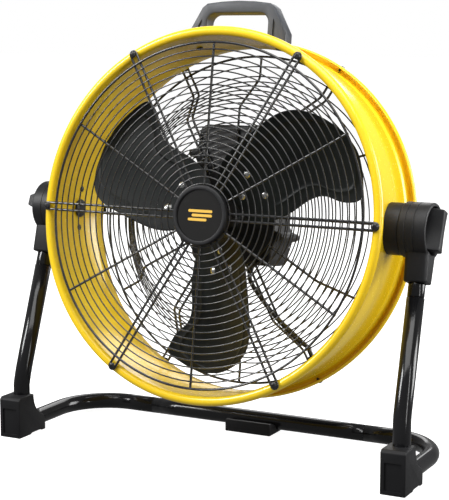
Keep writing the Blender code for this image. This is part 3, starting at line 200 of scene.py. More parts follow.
looks = {
    "yellowEnamel": enamel("yellowEnamel", (0.93, 0.60, 0.007), (0.99, 0.70, 0.022), 0.20, 0.10,
                           Coat_Weight=0.2, Coat_Roughness=0.12),
    "blackEnamel": enamel("blackEnamel", (0.004, 0.004, 0.0045), (0.009, 0.009, 0.010), 0.10,
                          0.12, Specular_IOR_Level=0.36),
    "wireCoat": enamel("wireCoat", (0.010, 0.010, 0.011), (0.018, 0.018, 0.019), 0.16, 0.15,
                       Coat_Weight=0.6, Coat_Roughness=0.08),
    "screwBlack": enamel("screwBlack", (0.010, 0.010, 0.011), (0.02, 0.02, 0.02), 0.30, 0.2),
    "bladeCoat": bladeCoat(),
    "blackPlastic": moulded("blackPlastic", (0.009, 0.009, 0.010), (0.017, 0.017, 0.018), 0.36,
                            Specular_IOR_Level=0.30),
    "bootPlastic": moulded("bootPlastic", (0.008, 0.008, 0.009), (0.015, 0.015, 0.016), 0.42,
                           0.45, 1100.0, Specular_IOR_Level=0.18),
    "housingPlastic": moulded("housingPlastic", (0.010, 0.010, 0.011), (0.018, 0.018, 0.019),
                              0.44, 0.5, 1000.0),
    "greyPlastic": moulded("greyPlastic", (0.030, 0.033, 0.040), (0.050, 0.054, 0.064), 0.38,
                           0.4, 1300.0),
    "glossPanel": enamel("glossPanel", (0.005, 0.005, 0.005), (0.011, 0.010, 0.009), 0.07, 0.03,
                         Coat_Weight=0.8, Coat_Roughness=0.03),
    "goldPrint": enamel("goldPrint", (0.86, 0.50, 0.06), (1.0, 0.64, 0.14), 0.28, 0.1,
                        Metallic=0.25),
    "dialPrint": enamel("dialPrint", (0.62, 0.62, 0.60), (0.76, 0.76, 0.74), 0.45, 0.1),
    "rubberJacket": moulded("rubberJacket", (0.008, 0.008, 0.008), (0.016, 0.016, 0.016), 0.52,
                            0.5, 900.0),
    "brightSteel": steel("brightSteel", (0.55, 0.55, 0.54), (0.80, 0.80, 0.78), 0.16,
                         (1.0, 0.1, 1.0)),
    "coreSteel": steel("coreSteel", (0.16, 0.16, 0.17), (0.34, 0.34, 0.34), 0.34),
    "zincSleeve": steel("zincSleeve", (0.42, 0.43, 0.44), (0.66, 0.67, 0.68), 0.30,
                        (0.1, 1.0, 1.0)),
    "laminations": laminated("laminations", (0.10, 0.09, 0.08), (0.36, 0.34, 0.31)),
    "paleResin": moulded("paleResin", (0.22, 0.22, 0.21), (0.34, 0.34, 0.32), 0.42, 0.3),
}
print("materials made")


# The bodies whose pieces are placed in the head's frame.
headBodies = ("drum_head", "impeller", "speed_knob")


def linked(name, data):
    made = bpy.data.objects.new(name, data)
    bpy.context.scene.collection.objects.link(made)
    return made


def meshOf(name, bm):
    mesh = bpy.data.meshes.new(name)
    bm.to_mesh(mesh)
    bm.free()
    return mesh


# The mesh that an object's curves, text or modifiers come to.
def bakedMesh(holder):
    bpy.context.view_layer.update()
    return holder.evaluated_get(bpy.context.evaluated_depsgraph_get()).to_mesh()


# Turns a bmesh into a finished piece that rides on its body; the place is in the head's frame.
def finishPiece(name, bm, look, nodes=(), place=Matrix(), sharp=32, body="drum_head"):
    if body in headBodies:
        place = headFrame @ place
    bmesh.ops.transform(bm, matrix=place, verts=bm.verts)
    bmesh.ops.recalc_face_normals(bm, faces=bm.faces)
    mesh = meshOf(name, bm)
    labels = [look] if isinstance(look, str) else look
    for label in labels:
        mesh.materials.append(looks[label])
    mesh.shade_smooth()
    mesh.set_sharp_from_angle(angle=math.radians(sharp))
    piece = linked(name, mesh)
    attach(piece, body)
    if nodes:
        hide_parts(*nodes)
    return piece


# Turns a profile of (radius, along) points once round the Y or the X axis.
def spun(profile, steps=64, closed=True, axis="Y"):
    bm = bmesh.new()
    verts = [bm.verts.new((radius, along, 0.0) if axis == "Y" else (along, radius, 0.0))
             for radius, along in profile]
    edges = [bm.edges.new(pair) for pair in zip(verts, verts[1:])]
    if closed:
        edges.append(bm.edges.new((verts[-1], verts[0])))
    bmesh.ops.spin(bm, geom=verts + edges, cent=(0, 0, 0), angle=2 * math.pi, steps=steps,
                   axis=(0, 1, 0) if axis == "Y" else (1, 0, 0), use_merge=True)
    bmesh.ops.remove_doubles(bm, verts=bm.verts, dist=1e-6)
    return bm


def arcPoints(centre, radius, start, end, steps):
    points = []
    for step in range(steps + 1):
        angle = math.radians(start + (end - start) * step / steps)
        points.append((centre[0] + radius * math.cos(angle),
                       centre[1] + radius * math.sin(angle)))
    return points


def addRod(bm, start, end, radius, sides=32):
    start = Vector(start)
    way = Vector(end) - start
    turn = way.to_track_quat("Z", "X").to_matrix().to_4x4()
    bmesh.ops.create_cone(bm, cap_ends=True, segments=sides, radius1=radius, radius2=radius,
                          depth=way.length, matrix=Matrix.Translation(start + way / 2) @ turn)


def rod(start, end, radius, sides=32):
    bm = bmesh.new()
    addRod(bm, start, end, radius, sides)
    return bm


# A matrix whose axes are the three given directions.
def basis(first, second, third, place=(0.0, 0.0, 0.0)):
    made = Matrix((first, second, third)).transposed().to_4x4()
    made.translation = Vector(place)
    return made


# The turn that points a screw or rivet built along +Y the way given.
def aim(way):
    return Vector((0.0, 1.0, 0.0)).rotation_difference(way).to_matrix().to_4x4()


def addBlock(bm, low, high, place=None):
    low = Vector(low)
    high = Vector(high)
    shape = Matrix.Translation((low + high) / 2) @ Matrix.Diagonal((*(high - low), 1.0))
    if place is not None:
        shape = place @ shape
    return bmesh.ops.create_cube(bm, size=1.0, matrix=shape)["verts"]


# A block whose edges along Y are rounded.
def addBar(bm, low, high, width, segments):
    made = addBlock(bm, low, high)
    edges = [edge for edge in {edge for vert in made for edge in vert.link_edges}
             if runsAlong(1)(edge)]
    bmesh.ops.bevel(bm, geom=edges, offset=width, segments=segments, profile=0.5,
                    affect="EDGES", material=-1)


# Extrudes an outline, and returns the bmesh; along is the axis it grows on.
def prism(outline, start, end, along="Y"):
    bm = bmesh.new()

    def spot(across, up, deep):
        return (deep, across, up) if along == "X" else (across, deep, up)

    base = bm.faces.new([bm.verts.new(spot(a, b, start)) for a, b in outline])
    grown = bmesh.ops.extrude_face_region(bm, geom=[base])["geom"]
    moved = [item for item in grown if isinstance(item, bmesh.types.BMVert)]
    bmesh.ops.translate(bm, verts=moved, vec=Vector(spot(0.0, 0.0, end - start)))
    bmesh.ops.recalc_face_normals(bm, faces=bm.faces)
    return bm


# Adds one bmesh to another.
def absorb(bm, part):
    mesh = meshOf("part", part)
    bm.from_mesh(mesh)
    bpy.data.meshes.remove(mesh)


# Rounds the edges sharper than an angle that also pass a test.
def soften(bm, width, segments=3, angle=30, keep=None):
    bm.normal_update()
    edges = [edge for edge in bm.edges
             if len(edge.link_faces) == 2 and edge.calc_face_angle(0.0) > math.radians(angle)
             and (keep is None or keep(edge))]
    bmesh.ops.bevel(bm, geom=edges, offset=width, offset_type="OFFSET", segments=segments,
                    profile=0.5, affect="EDGES", clamp_overlap=True, material=-1)
    return bm


def runsAlong(axis):
    def test(edge):
        way = (edge.verts[1].co - edge.verts[0].co).normalized()
        return abs(way[axis]) > 0.95
    return test


# Joins or cuts one solid with another, and gives back the result as a bmesh.
def carve(bm, tool, operation="DIFFERENCE"):
    holders = []
    for solid in (bm, tool):
        bmesh.ops.recalc_face_normals(solid, faces=solid.faces)
        holders.append(linked("carved", meshOf("carved", solid)))
    step = holders[0].modifiers.new("carve", "BOOLEAN")
    step.operation = operation
    step.solver = "EXACT"
    step.object = holders[1]
    result = bmesh.new()
    result.from_mesh(bakedMesh(holders[0]))
    for holder in holders:
        bpy.data.objects.remove(holder)
    return result


def addWall(piece, thickness, offset):
    wall = piece.modifiers.new("wall", "SOLIDIFY")
    wall.thickness = thickness
    wall.offset = offset
    return piece


# Round wires along open paths; sizes give a path its own thickness at each point.
def wires(paths, radius, sides=8, caps=True, sizes=None):
    curve = bpy.data.curves.new("wires", "CURVE")
    curve.dimensions = "3D"
    curve.bevel_depth = radius
    curve.bevel_resolution = sides // 2 - 2
    curve.use_fill_caps = caps
    for points in paths:
        spline = curve.splines.new("POLY")
        spline.points.add(len(points) - 1)
        for index, point in enumerate(points):
            spline.points[index].co = (*point, 1.0)
            if sizes is not None:
                spline.points[index].radius = sizes[index]
    holder = linked("wires", curve)
    bm = bmesh.new()
    bm.from_mesh(bakedMesh(holder))
    bpy.data.objects.remove(holder)
    bmesh.ops.remove_doubles(bm, verts=bm.verts, dist=1e-6)
    return bm


def addRing(bm, radius, along, wire, steps=96, sides=8):
    made = bmesh.ops.create_circle(bm, segments=sides, radius=wire,
                                   matrix=Matrix.Translation((radius, along, 0.0)))["verts"]
    edges = list({edge for vert in made for edge in vert.link_edges})
    bmesh.ops.spin(bm, geom=made + edges, cent=(0, 0, 0), axis=(0, 1, 0), angle=2 * math.pi,
                   steps=steps, use_merge=True)


def radial(radius, angle, along):
    return Vector((radius * math.cos(angle), along, radius * math.sin(angle)))


def smoothStep(share):
    share = max(0.0, min(1.0, share))
    return share * share * (3 - 2 * share)


# The camera and the light.
view = {
    "location": (1.0052, -1.9391, 0.6256), "azimuth": 27.5019535, "elevation": 8.56258013,
    "lens": 106.31, "shift": (0.0002, 0.0043),
}


def makeCamera():
    azimuth = math.radians(view["azimuth"])
    elevation = math.radians(view["elevation"])
    right = Vector((math.cos(azimuth), math.sin(azimuth), 0.0))
    ahead = Vector((-math.sin(azimuth) * math.cos(elevation),
                    math.cos(azimuth) * math.cos(elevation), -math.sin(elevation)))
    data = bpy.data.cameras.new("studioCamera")
    data.lens = view["lens"]
    data.sensor_width = 36
    data.shift_x, data.shift_y = view["shift"]
    camera = linked("studioCamera", data)
    camera.matrix_world = basis(right, right.cross(ahead), -ahead, view["location"])
    bpy.context.scene.camera = camera


studio = {
    "world": 0.26, "camera": 1.0, "floorGlow": 0.9,
    "lamps": (
        # name, place, looks at, width, height, power
        ("topBox", (0.3, -0.7, 2.6), (0.0, 0.0, 0.2), 2.4, 2.0, 68.0),
        ("frontLeftBox", (-2.2, -1.9, 2.0), (0.0, 0.0, 0.35), 0.8, 1.4, 92.0),
        ("rightStrip", (2.3, -0.7, 1.1), (0.2, 0.0, 0.3), 0.22, 1.8, 16.0),
        ("rightBackBox", (2.2, 1.4, 0.9), (0.0, 0.0, 0.3), 1.2, 1.4, 56.0),
        ("backBox", (-0.8, 2.4, 1.6), (0.0, 0.0, 0.35), 1.6, 1.2, 18.0),
    ),
}


def makeStudio():
    world = bpy.data.worlds.new("studio")
    bpy.context.scene.world = world
    world.use_nodes = True
    tree = world.node_tree
    background = tree.nodes["Background"]
    background.inputs["Color"].default_value = (1.0, 1.0, 1.0, 1.0)
    path = tree.nodes.new("ShaderNodeLightPath")
    seen = Flow(tree, path.outputs["Is Camera Ray"])
    strength = seen * (studio["camera"] - studio["world"]) + studio["world"]
    tree.links.new(strength.socket, background.inputs["Strength"])
    for name, place, target, width, height, power in studio["lamps"]:
        data = bpy.data.lights.new(name, "AREA")
        data.shape = "RECTANGLE"
        data.size = width
        data.size_y = height
        data.energy = power
        lamp = linked(name, data)
        way = Vector(target) - Vector(place)
        lamp.matrix_world = (Matrix.Translation(Vector(place))
                             @ way.to_track_quat("-Z", "Y").to_matrix().to_4x4())
    look = Finish("studioFloor", Emission_Strength=studio["floorGlow"],
                  Emission_Color=(1.0, 1.0, 1.0, 1.0), Specular_IOR_Level=0.0)
    cloud = look.noise(1.5, 3.0)
    looks["studioFloor"] = look.surface(look.mix(cloud, (0.50, 0.50, 0.50), (0.53, 0.53, 0.53)),
                                        0.6 + cloud * 0.1)
    bm = bmesh.new()
    bmesh.ops.create_grid(bm, x_segments=8, y_segments=8, size=30.0)
    floor = linked("studioFloor", meshOf("studioFloor", bm))
    floor.data.materials.append(looks["studioFloor"])
    floor.visible_diffuse = False
    floor.visible_glossy = False
    bpy.context.scene.view_settings.view_transform = "Standard"


makeCamera()
makeStudio()
print("camera and studio made")


# The barrel: rolled sheet, curled over at both rims, with a shallow groove before the rear curl.
drum = {
    "radius": 0.2619, "sheet": 0.0012, "frontBead": 0.0064, "rearBead": 0.0055,
    "frontPlane": -0.07875, "rearPlane": 0.07875, "frontBeadY": -0.06955, "rearBeadY": 0.07045,
    "groove": 0.0016, "grooveY": (0.046, 0.049, 0.055, 0.058), "steps": 160,
}


def makeDrum():
    radius = drum["radius"]
    groove = drum["groove"]
    profile = arcPoints((radius + drum["frontBead"], drum["frontBeadY"]), drum["frontBead"],
                        420, 180, 16)
    first, second, third, fourth = drum["grooveY"]
    profile += [(radius, -0.045), (radius, 0.0), (radius, first), (radius - groove, second),
                (radius - groove, third), (radius, fourth)]
    profile += arcPoints((radius + drum["rearBead"], drum["rearBeadY"]), drum["rearBead"],
                         180, -60, 14)
    bm = spun(profile, drum["steps"], closed=False)
    shell = finishPiece("drumShell", bm, "yellowEnamel", ["drum_shell"], sharp=60)
    addWall(shell, drum["sheet"], 0.0)


# Two wire guards: six hairpins and six single ribs, with rings welded across them.
guards = {
    "rib": 0.0019, "ring": 0.00108, "outer": 0.0019, "ringShift": 0.0024, "inner": 0.036,
    "firstRing": 0.046, "lastRing": 0.2507, "rings": 21, "hairpin": 0.005, "screws": 0.267,
    "recessPlane": 0.01655, "recessInner": 0.1677, "recessOuter": 0.2171,
    "flatRings": 12, "coneRings": 6, "bandRings": 3, "ringGap": 0.003,
}


def hairpinPath(section, angle):
    out = radial(1.0, angle, 0.0)
    across = Vector((-math.sin(angle), 0.0, math.cos(angle)))
    half = guards["hairpin"]
    run = [radial(radius, angle, along) for radius, along in section]
    turn = [run[-1] + out * ahead + across * aside
            for ahead, aside in arcPoints((0.0, 0.0), half, -90, 90, 10)]
    return ([point - across * half for point in run] + turn
            + [point + across * half for point in reversed(run)])


# Softens a section's corners, so that a wire bends instead of folding.
def eased(section, reach=0.008, steps=4):
    points = [section[0]]
    for before, corner, after in zip(section, section[1:], section[2:]):
        corner = Vector(corner)
        start = corner + (Vector(before) - corner).normalized() * reach
        end = corner + (Vector(after) - corner).normalized() * reach
        for step in range(steps + 1):
            share = step / steps
            points.append(tuple(start * (1 - share) ** 2 + corner * 2 * share * (1 - share)
                                + end * share ** 2))
    return points + [section[-1]]


def makeGuard(name, section, rings, node):
    single = section[:-1] + [(guards["lastRing"] + guards["ring"], section[-1][1])]
    paths = []
    for index in range(6):
        paths.append(hairpinPath(eased(section), math.radians(60 * index)))
        angle = math.radians(60 * index + 30)
        paths.append([radial(radius, angle, along) for radius, along in eased(single)])
    bm = wires(paths, guards["rib"], 10)
    for radius, along in rings[:-1]:
        addRing(bm, radius, along - guards["ringShift"], guards["ring"])
    radius, along = rings[-1]
    addRing(bm, radius, along - guards["ringShift"], guards["outer"], 128)
    finishPiece(name, bm, "wireCoat", [node], sharp=50)


def spread(first, last, count):
    return [first + (last - first) * index / (count - 1) for index in range(count)]


def makeGuards():
    front = drum["frontPlane"]
    rear = drum["rearPlane"]
    recess = guards["recessPlane"]
    radii = spread(guards["firstRing"], guards["lastRing"], guards["rings"])
    makeGuard("frontGuard", [(guards["inner"], front), (guards["screws"], front)],
              [(radius, front) for radius in radii], "front_guard")
    inner = guards["recessInner"]
    outer = guards["recessOuter"]
    gap = guards["ringGap"]
    rings = [(radius, recess)
             for radius in spread(guards["firstRing"] + gap, inner - gap, guards["flatRings"])]
    for share in spread(0.12, 0.88, guards["coneRings"]):
        rings.append((inner + (outer - inner) * share, recess + (rear - recess) * share))
    rings += [(radius, rear)
              for radius in spread(outer + gap, guards["lastRing"], guards["bandRings"])]
    makeGuard("rearGuard", [(guards["firstRing"], recess), (inner, recess), (outer, rear),
                            (guards["screws"], rear)], rings, "rear_guard")


# A pan-head screw with a cross slot, head towards -Y and shank towards +Y.
# Sizes are head radius, head height, shank radius and shank length.
screws = {
    "guard": (0.0050, 0.0030, 0.0019, 0.0073), "handle": (0.0050, 0.0030, 0.0019, 0.0140),
    "housing": (0.0042, 0.0022, 0.0016, 0.0120), "clamp": (0.0030, 0.0018, 0.0012, 0.0060),
    "boss": (0.0046, 0.0024, 0.0019, 0.0100), "slot": 0.0013, "sides": 24,
}


def screwBody(size, seat=0.0):
    head, height, shank, length = screws[size]
    profile = [(0.0, length), (shank * 0.7, length), (shank, length - 0.0006), (shank, -seat),
               (head, -seat), (head, -seat - height * 0.30)]
    profile += [(head * math.cos(math.radians(angle)) * 0.99,
                 -seat - height * (0.30 + 0.70 * math.sin(math.radians(angle))))
                for angle in (20, 40, 60, 75)]
    profile.append((0.0, -seat - height))
    bm = spun(profile, screws["sides"], closed=False)
    slot = screws["slot"] / 2
    for wide, tall in ((head * 0.62, slot), (slot, head * 0.62)):
        bar = bmesh.new()
        addBlock(bar, (-wide, -seat - 2 * height, -tall), (wide, -seat - height * 0.45, tall))
        bm = carve(bm, bar)
    return bm


def makeGuardScrews():
    for prefix, plane, turn in (("front", drum["frontPlane"], 0.0),
                                ("rear", drum["rearPlane"], math.pi)):
        for index in range(6):
            spot = Matrix.Translation(radial(guards["screws"], math.radians(60 * index), plane))
            spin = Matrix.Rotation(0.6 * index, 4, "Y")
            finishPiece(f"{prefix}GuardScrew{index + 1}",
                        screwBody("guard", guards["rib"] + 0.0003), "screwBlack",
                        [f"{prefix}_guard_screw_{index + 1}"],
                        spot @ Matrix.Rotation(turn, 4, "X") @ spin)


# The round badge: a raised rim round a sunk glossy disc, with three plain gold streaks.
badge = {
    "radius": 0.0435, "back": -0.08095, "front": -0.08945, "recess": 0.0372, "sink": 0.0030,
    "streaks": ((-0.0185, 0.0205, 0.0062), (-0.0125, 0.0205, 0.0), (-0.0185, 0.0120, -0.0062)),
    "streakHeight": 0.0040, "streakProud": 0.0005,
}


def makeBadge():
    radius = badge["radius"]
    front = badge["front"]
    recess = badge["recess"]
    floor = front + badge["sink"]
    profile = [(0.0, badge["back"]), (radius - 0.002, badge["back"]),
               (radius, badge["back"] - 0.001)]
    profile += arcPoints((radius - 0.0022, front + 0.0022), 0.0022, 0, -90, 5)
    profile += arcPoints((recess + 0.0012, front + 0.0012), 0.0012, -90, -180, 4)
    profile += [(recess - 0.0002, floor), (recess * 0.6, floor - 0.0004), (0.0, floor - 0.0005)]
    bm = spun(profile, 96, closed=False)
    for face in bm.faces:
        middle = face.calc_center_median()
        if math.hypot(middle.x, middle.z) < recess - 0.0003 and middle.y < floor + 0.0004:
            face.material_index = 1
    finishPiece("guardBadge", bm, ["blackPlastic", "glossPanel"], ["guard_badge"], sharp=40)
    bars = bmesh.new()
    half = badge["streakHeight"] / 2
    for left, right, up in badge["streaks"]:
        addBar(bars, (left, floor - 0.0005 - badge["streakProud"], up - half),
               (right, floor, up + half), half * 0.98, 6)
    finishPiece("badgeStreaks", bars, "goldPrint", ["badge_insert"])


# The moulded carrying handle that stands on the drum.
handle = {
    "halfFoot": 0.0810, "halfTop": 0.0560, "halfGap": 0.0505, "crown": 0.3220,
    "shoulder": 0.2740, "grip": 0.0190, "depth": 0.0240, "seat": 0.2628, "screwX": 0.06575,
    "hollowCorner": 0.014, "facetDepth": 0.0022,
    "facet": ((0.0590, 0.2665), (0.0745, 0.2665), (0.0660, 0.2830), (0.0590, 0.2950)),
}


def handleOutline():
    gap = handle["halfGap"]
    under = handle["crown"] - handle["grip"]

    def top(x):
        return math.sqrt(handle["seat"] ** 2 - x ** 2)

    foot = handle["halfFoot"]
    right = [(gap, top(gap)), ((gap + foot) / 2, top((gap + foot) / 2)), (foot, top(foot)),
             (foot, handle["shoulder"]), (handle["halfTop"] + 0.004, handle["crown"] - 0.010),
             (handle["halfTop"] - 0.004, handle["crown"] - 0.004),
             (0.028, handle["crown"] - 0.0012)]
    left = [(-x, z) for x, z in reversed(right)]
    corner = handle["hollowCorner"]
    inner = arcPoints((gap - corner, under - corner), corner, 0, 84, 8)
    hollow = [(-x, z) for x, z in inner] + [(0.0, under)] + list(reversed(inner))
    return right + [(0.0, handle["crown"])] + left + hollow


def makeHandle():
    half = handle["depth"] / 2
    bm = prism(handleOutline(), -half, half)
    soften(bm, 0.0028, 4, 50, lambda edge: not runsAlong(1)(edge))
    # Each foot has a sunk facet on its front and back.
    pockets = bmesh.new()
    for side in (-1, 1):
        for face in (-1, 1):
            start = face * (half - handle["facetDepth"])
            absorb(pockets, prism([(side * x, z) for x, z in handle["facet"]], start,
                                  start + face * 0.006))
    bm = carve(bm, pockets)
    finishPiece("carryHandle", bm, "greyPlastic", ["carry_handle"], sharp=38)
    inside = drum["radius"] - drum["sheet"] / 2 - 0.0006
    for label, side in (("Left", -1), ("Right", 1)):
        way = Vector((side * handle["screwX"], 0.0,
                      math.sqrt(inside ** 2 - handle["screwX"] ** 2))).normalized()
        finishPiece(f"handleScrew{label}", screwBody("handle"), "screwBlack",
                    [f"handle_screw_{label.lower()}"],
                    Matrix.Translation(way * inside) @ aim(way))


makeDrum()
makeGuards()
makeGuardScrews()
makeBadge()
makeHandle()
print("drum, guards and handle made")


# Three pressed blades; an edge is (reach, chord) in shares of the tip's reach.
blades = {
    "tip": 0.2295, "plane": -0.03075, "pitch": 24.1, "camber": 2.14, "thickness": 0.0014,
    "phase": 39.7, "crease": 0.0015,
    "leading": ((0.148, 0.157), (0.240, 0.227), (0.370, 0.261), (0.566, 0.264), (0.758, 0.250),
                (0.871, 0.190), (0.950, 0.072), (0.991, -0.061), (1.0, -0.131)),
    "trailing": ((0.148, -0.174), (0.261, -0.248), (0.401, -0.289), (0.566, -0.305),
                 (0.654, -0.349), (0.719, -0.451), (0.784, -0.508), (0.837, -0.521),
                 (0.885, -0.473), (0.922, -0.410), (0.965, -0.320), (0.993, -0.227),
                 (1.0, -0.131)),
    "rows": 56, "creaseBack": 0.021, "creaseFront": 0.016, "creaseWidth": 0.0022,
    "fullWidth": 0.085, "leastWidth": 0.0004,
    "rivets": ((0.050, 0.0), (0.078, 0.020), (0.078, -0.020)),
    "rivetRadius": 0.0046, "rivetHeight": 0.0022,
}


# Reads an edge smoothly at a reach, with a slope at each point taken from its neighbours.
def edgeAt(points, reach):
    for index in range(len(points) - 1):
        r0, c0 = points[index]
        r1, c1 = points[index + 1]
        if reach <= r1 or index == len(points) - 2:
            ra, ca = points[max(index - 1, 0)]
            rb, cb = points[min(index + 2, len(points) - 1)]
            span = r1 - r0
            slope0 = (c1 - ca) / (r1 - ra)
            slope1 = (cb - c0) / (rb - r0)
            flat = (c1 - c0) / span
            slope0 = max(-3 * abs(flat), min(3 * abs(flat), slope0))
            slope1 = max(-3 * abs(flat), min(3 * abs(flat), slope1))
            t = max(0.0, min(1.0, (reach - r0) / span))
            return ((2 * t ** 3 - 3 * t ** 2 + 1) * c0 + (t ** 3 - 2 * t ** 2 + t) * span * slope0
                    + (3 * t ** 2 - 2 * t ** 3) * c1 + (t ** 3 - t ** 2) * span * slope1)
    return points[-1][1]


def bladePoint(reach, chord, lift=0.0):
    pitch = math.radians(blades["pitch"])
    along = blades["plane"] - chord * math.sin(pitch) - blades["camber"] * chord ** 2
    return Vector((reach, along + lift, chord * math.cos(pitch)))


# Columns across a blade: distances in from each edge, close together where the creases run.
def bladeColumns(width):
    room = min(1.0, width / blades["fullWidth"])
    back = [0.0, 0.0015, 0.006, 0.012, 0.0175, 0.0195, 0.021, 0.0225, 0.0245, 0.029]
    front = [0.0, 0.0015, 0.005, 0.010, 0.0125, 0.0145, 0.016, 0.0175, 0.0195, 0.024]
    back = [room * distance for distance in back]
    front = [width - room * distance for distance in front]
    middle = [back[-1] + (front[-1] - back[-1]) * step / 9 for step in range(1, 9)]
    return back + middle + list(reversed(front))


def creaseLift(distance, width, reachShare):
    room = min(1.0, width / blades["fullWidth"])
    fade = smoothStep((reachShare - 0.30) / 0.12) * smoothStep((0.985 - reachShare) / 0.06)
    lift = 0.0
    creases = ((distance, blades["creaseBack"]), (width - distance, blades["creaseFront"]))
    for place, size in creases:
        lift += math.exp(-((place / room - size) / blades["creaseWidth"]) ** 2)
        lift += 0.75 * (1 - smoothStep((place / room - size + 0.003) / 0.006))
    return -blades["crease"] * fade * lift


def makeBlade(index):
    leading, trailing = ([(r * blades["tip"], c * blades["tip"]) for r, c in blades[edge]]
                         for edge in ("leading", "trailing"))
    rows = blades["rows"]
    columns = len(bladeColumns(0.1))
    bm = bmesh.new()
    bmesh.ops.create_grid(bm, x_segments=rows - 1, y_segments=columns - 1, size=0.5)
    root = leading[0][0]
    for vert in bm.verts:
        row = round((vert.co.x + 0.5) * (rows - 1))
        column = round((vert.co.y + 0.5) * (columns - 1))
        share = math.sin(math.pi / 2 * row / (rows - 1))       # rows crowd towards the tip
        reach = root + (blades["tip"] - root) * share
        low = edgeAt(trailing, reach)
        width = max(edgeAt(leading, reach) - low, blades["leastWidth"])
        distance = bladeColumns(width)[column]
        lift = creaseLift(distance, width, reach / blades["tip"])
        vert.co = bladePoint(reach, low + distance, lift)
    bmesh.ops.remove_doubles(bm, verts=bm.verts, dist=0.0001)
    turn = Matrix.Rotation(-math.radians(blades["phase"] + 120 * index), 4, "Y")
    blade = finishPiece(f"fanBlade{index + 1}", bm, "bladeCoat", [f"blade_{index + 1}"], turn,
                        40, "impeller")
    addWall(blade, blades["thickness"], 0.0)
    rivets = bmesh.new()
    radius = blades["rivetRadius"]
    height = blades["rivetHeight"]
    for reach, chord in blades["rivets"]:
        spot = bladePoint(reach, chord)
        slope = (bladePoint(reach, chord + 0.001) - bladePoint(reach, chord - 0.001)).normalized()
        face = Vector((1.0, 0.0, 0.0)).cross(slope).normalized()
        if face.y > 0:
            face = -face
        dome = arcPoints((0.0, 0.0), 1.0, 0, 90, 6)
        profile = [(radius * 1.12, 0.0), (radius * 1.12, height * 0.12)]
        profile += [(radius * a, height * (0.2 + 0.8 * b)) for a, b in dome[:-1]] + [(0.0, height)]
        part = spun([(0.0, 0.0)] + profile, 24, closed=False)
        place = Matrix.Translation(spot + face * blades["thickness"] / 2) @ aim(face)
        bmesh.ops.transform(part, matrix=place, verts=part.verts)
        absorb(rivets, part)
    finishPiece(f"bladeRivets{index + 1}", rivets, "brightSteel", (), turn, 40, "impeller")


for index in range(3):
    makeBlade(index)
print("impeller made")


# The motor's mounting plate and the two halves of its plastic housing.
housing = {
    "front": 0.01875, "seam": 0.051, "back": 0.08325, "side": 0.067, "bottom": -0.068,
    "top": 0.140, "wall": 0.0028, "ear": 0.084, "earZ": (0.095, -0.023), "split": 0.00015,
    "earScrewX": 0.0775, "chamfer": 0.012, "shaftHole": 0.013, "leadHole": 0.0051,
    "slotRows": 7, "slotFirst": -0.036, "slotPitch": 0.012, "slotX": 0.031,
    "slotHalf": (0.020, 0.0018), "holeReach": 0.01,
}
plate = {"radius": 0.075, "hole": 0.020, "front": 0.0104, "thickness": 0.0020}
dial = {
    "radius": 0.0265, "digit": 0.0065, "z": 0.105, "hole": 0.0035, "print": 0.00008,
    "tickIn": 0.0062, "tick": (0.0004, 0.0011),
}


def housingOutline():
    middle = (housing["top"] + housing["bottom"]) / 2
    half = (housing["top"] - housing["bottom"]) / 2
    ear = half - 0.045
    side = housing["side"]
    reach = housing["ear"]
    corner = arcPoints((side - 0.015, half - 0.015), 0.015, 12, 90, 6)
    lobe = arcPoints((reach - 0.0055, ear), 0.0055, -70, 70, 6)
    quarter = [(side, ear - 0.016), (side + 0.004, ear - 0.008)] + lobe
    quarter += [(side + 0.005, ear + 0.008), (side + 0.001, ear + 0.015)] + corner
    upper = quarter + [(-x, z) for x, z in reversed(quarter)]
    lower = [(-x, -z) for x, z in upper]
    return [(x, z + middle) for x, z in upper + lower]


def makeHousingHalf(name, node, start, end, holes):
    bm = prism(housingOutline(), start, end)
    seam = housing["seam"]
    outside = max(start, end, key=lambda place: abs(place - seam))
    soften(bm, 0.0035, 3, 45,
           lambda edge: all(abs(vert.co.y - outside) < 1e-5 for vert in edge.verts))
    side = housing["side"] - housing["wall"]
    top = housing["top"] - housing["wall"]
    bottom = housing["bottom"] + housing["wall"]
    cut = housing["chamfer"]
    cavity = [(side - cut, bottom), (side, bottom + cut), (side, top - cut), (side - cut, top),
              (-side + cut, top), (-side, top - cut), (-side, bottom + cut),
              (-side + cut, bottom)]
    way = 1 if outside > seam else -1
    bm = carve(bm, prism(cavity, seam - way * 0.01, outside - way * housing["wall"]))
    bm = carve(bm, holes)
    finishPiece(name, bm, "housingPlastic", [node], sharp=38)


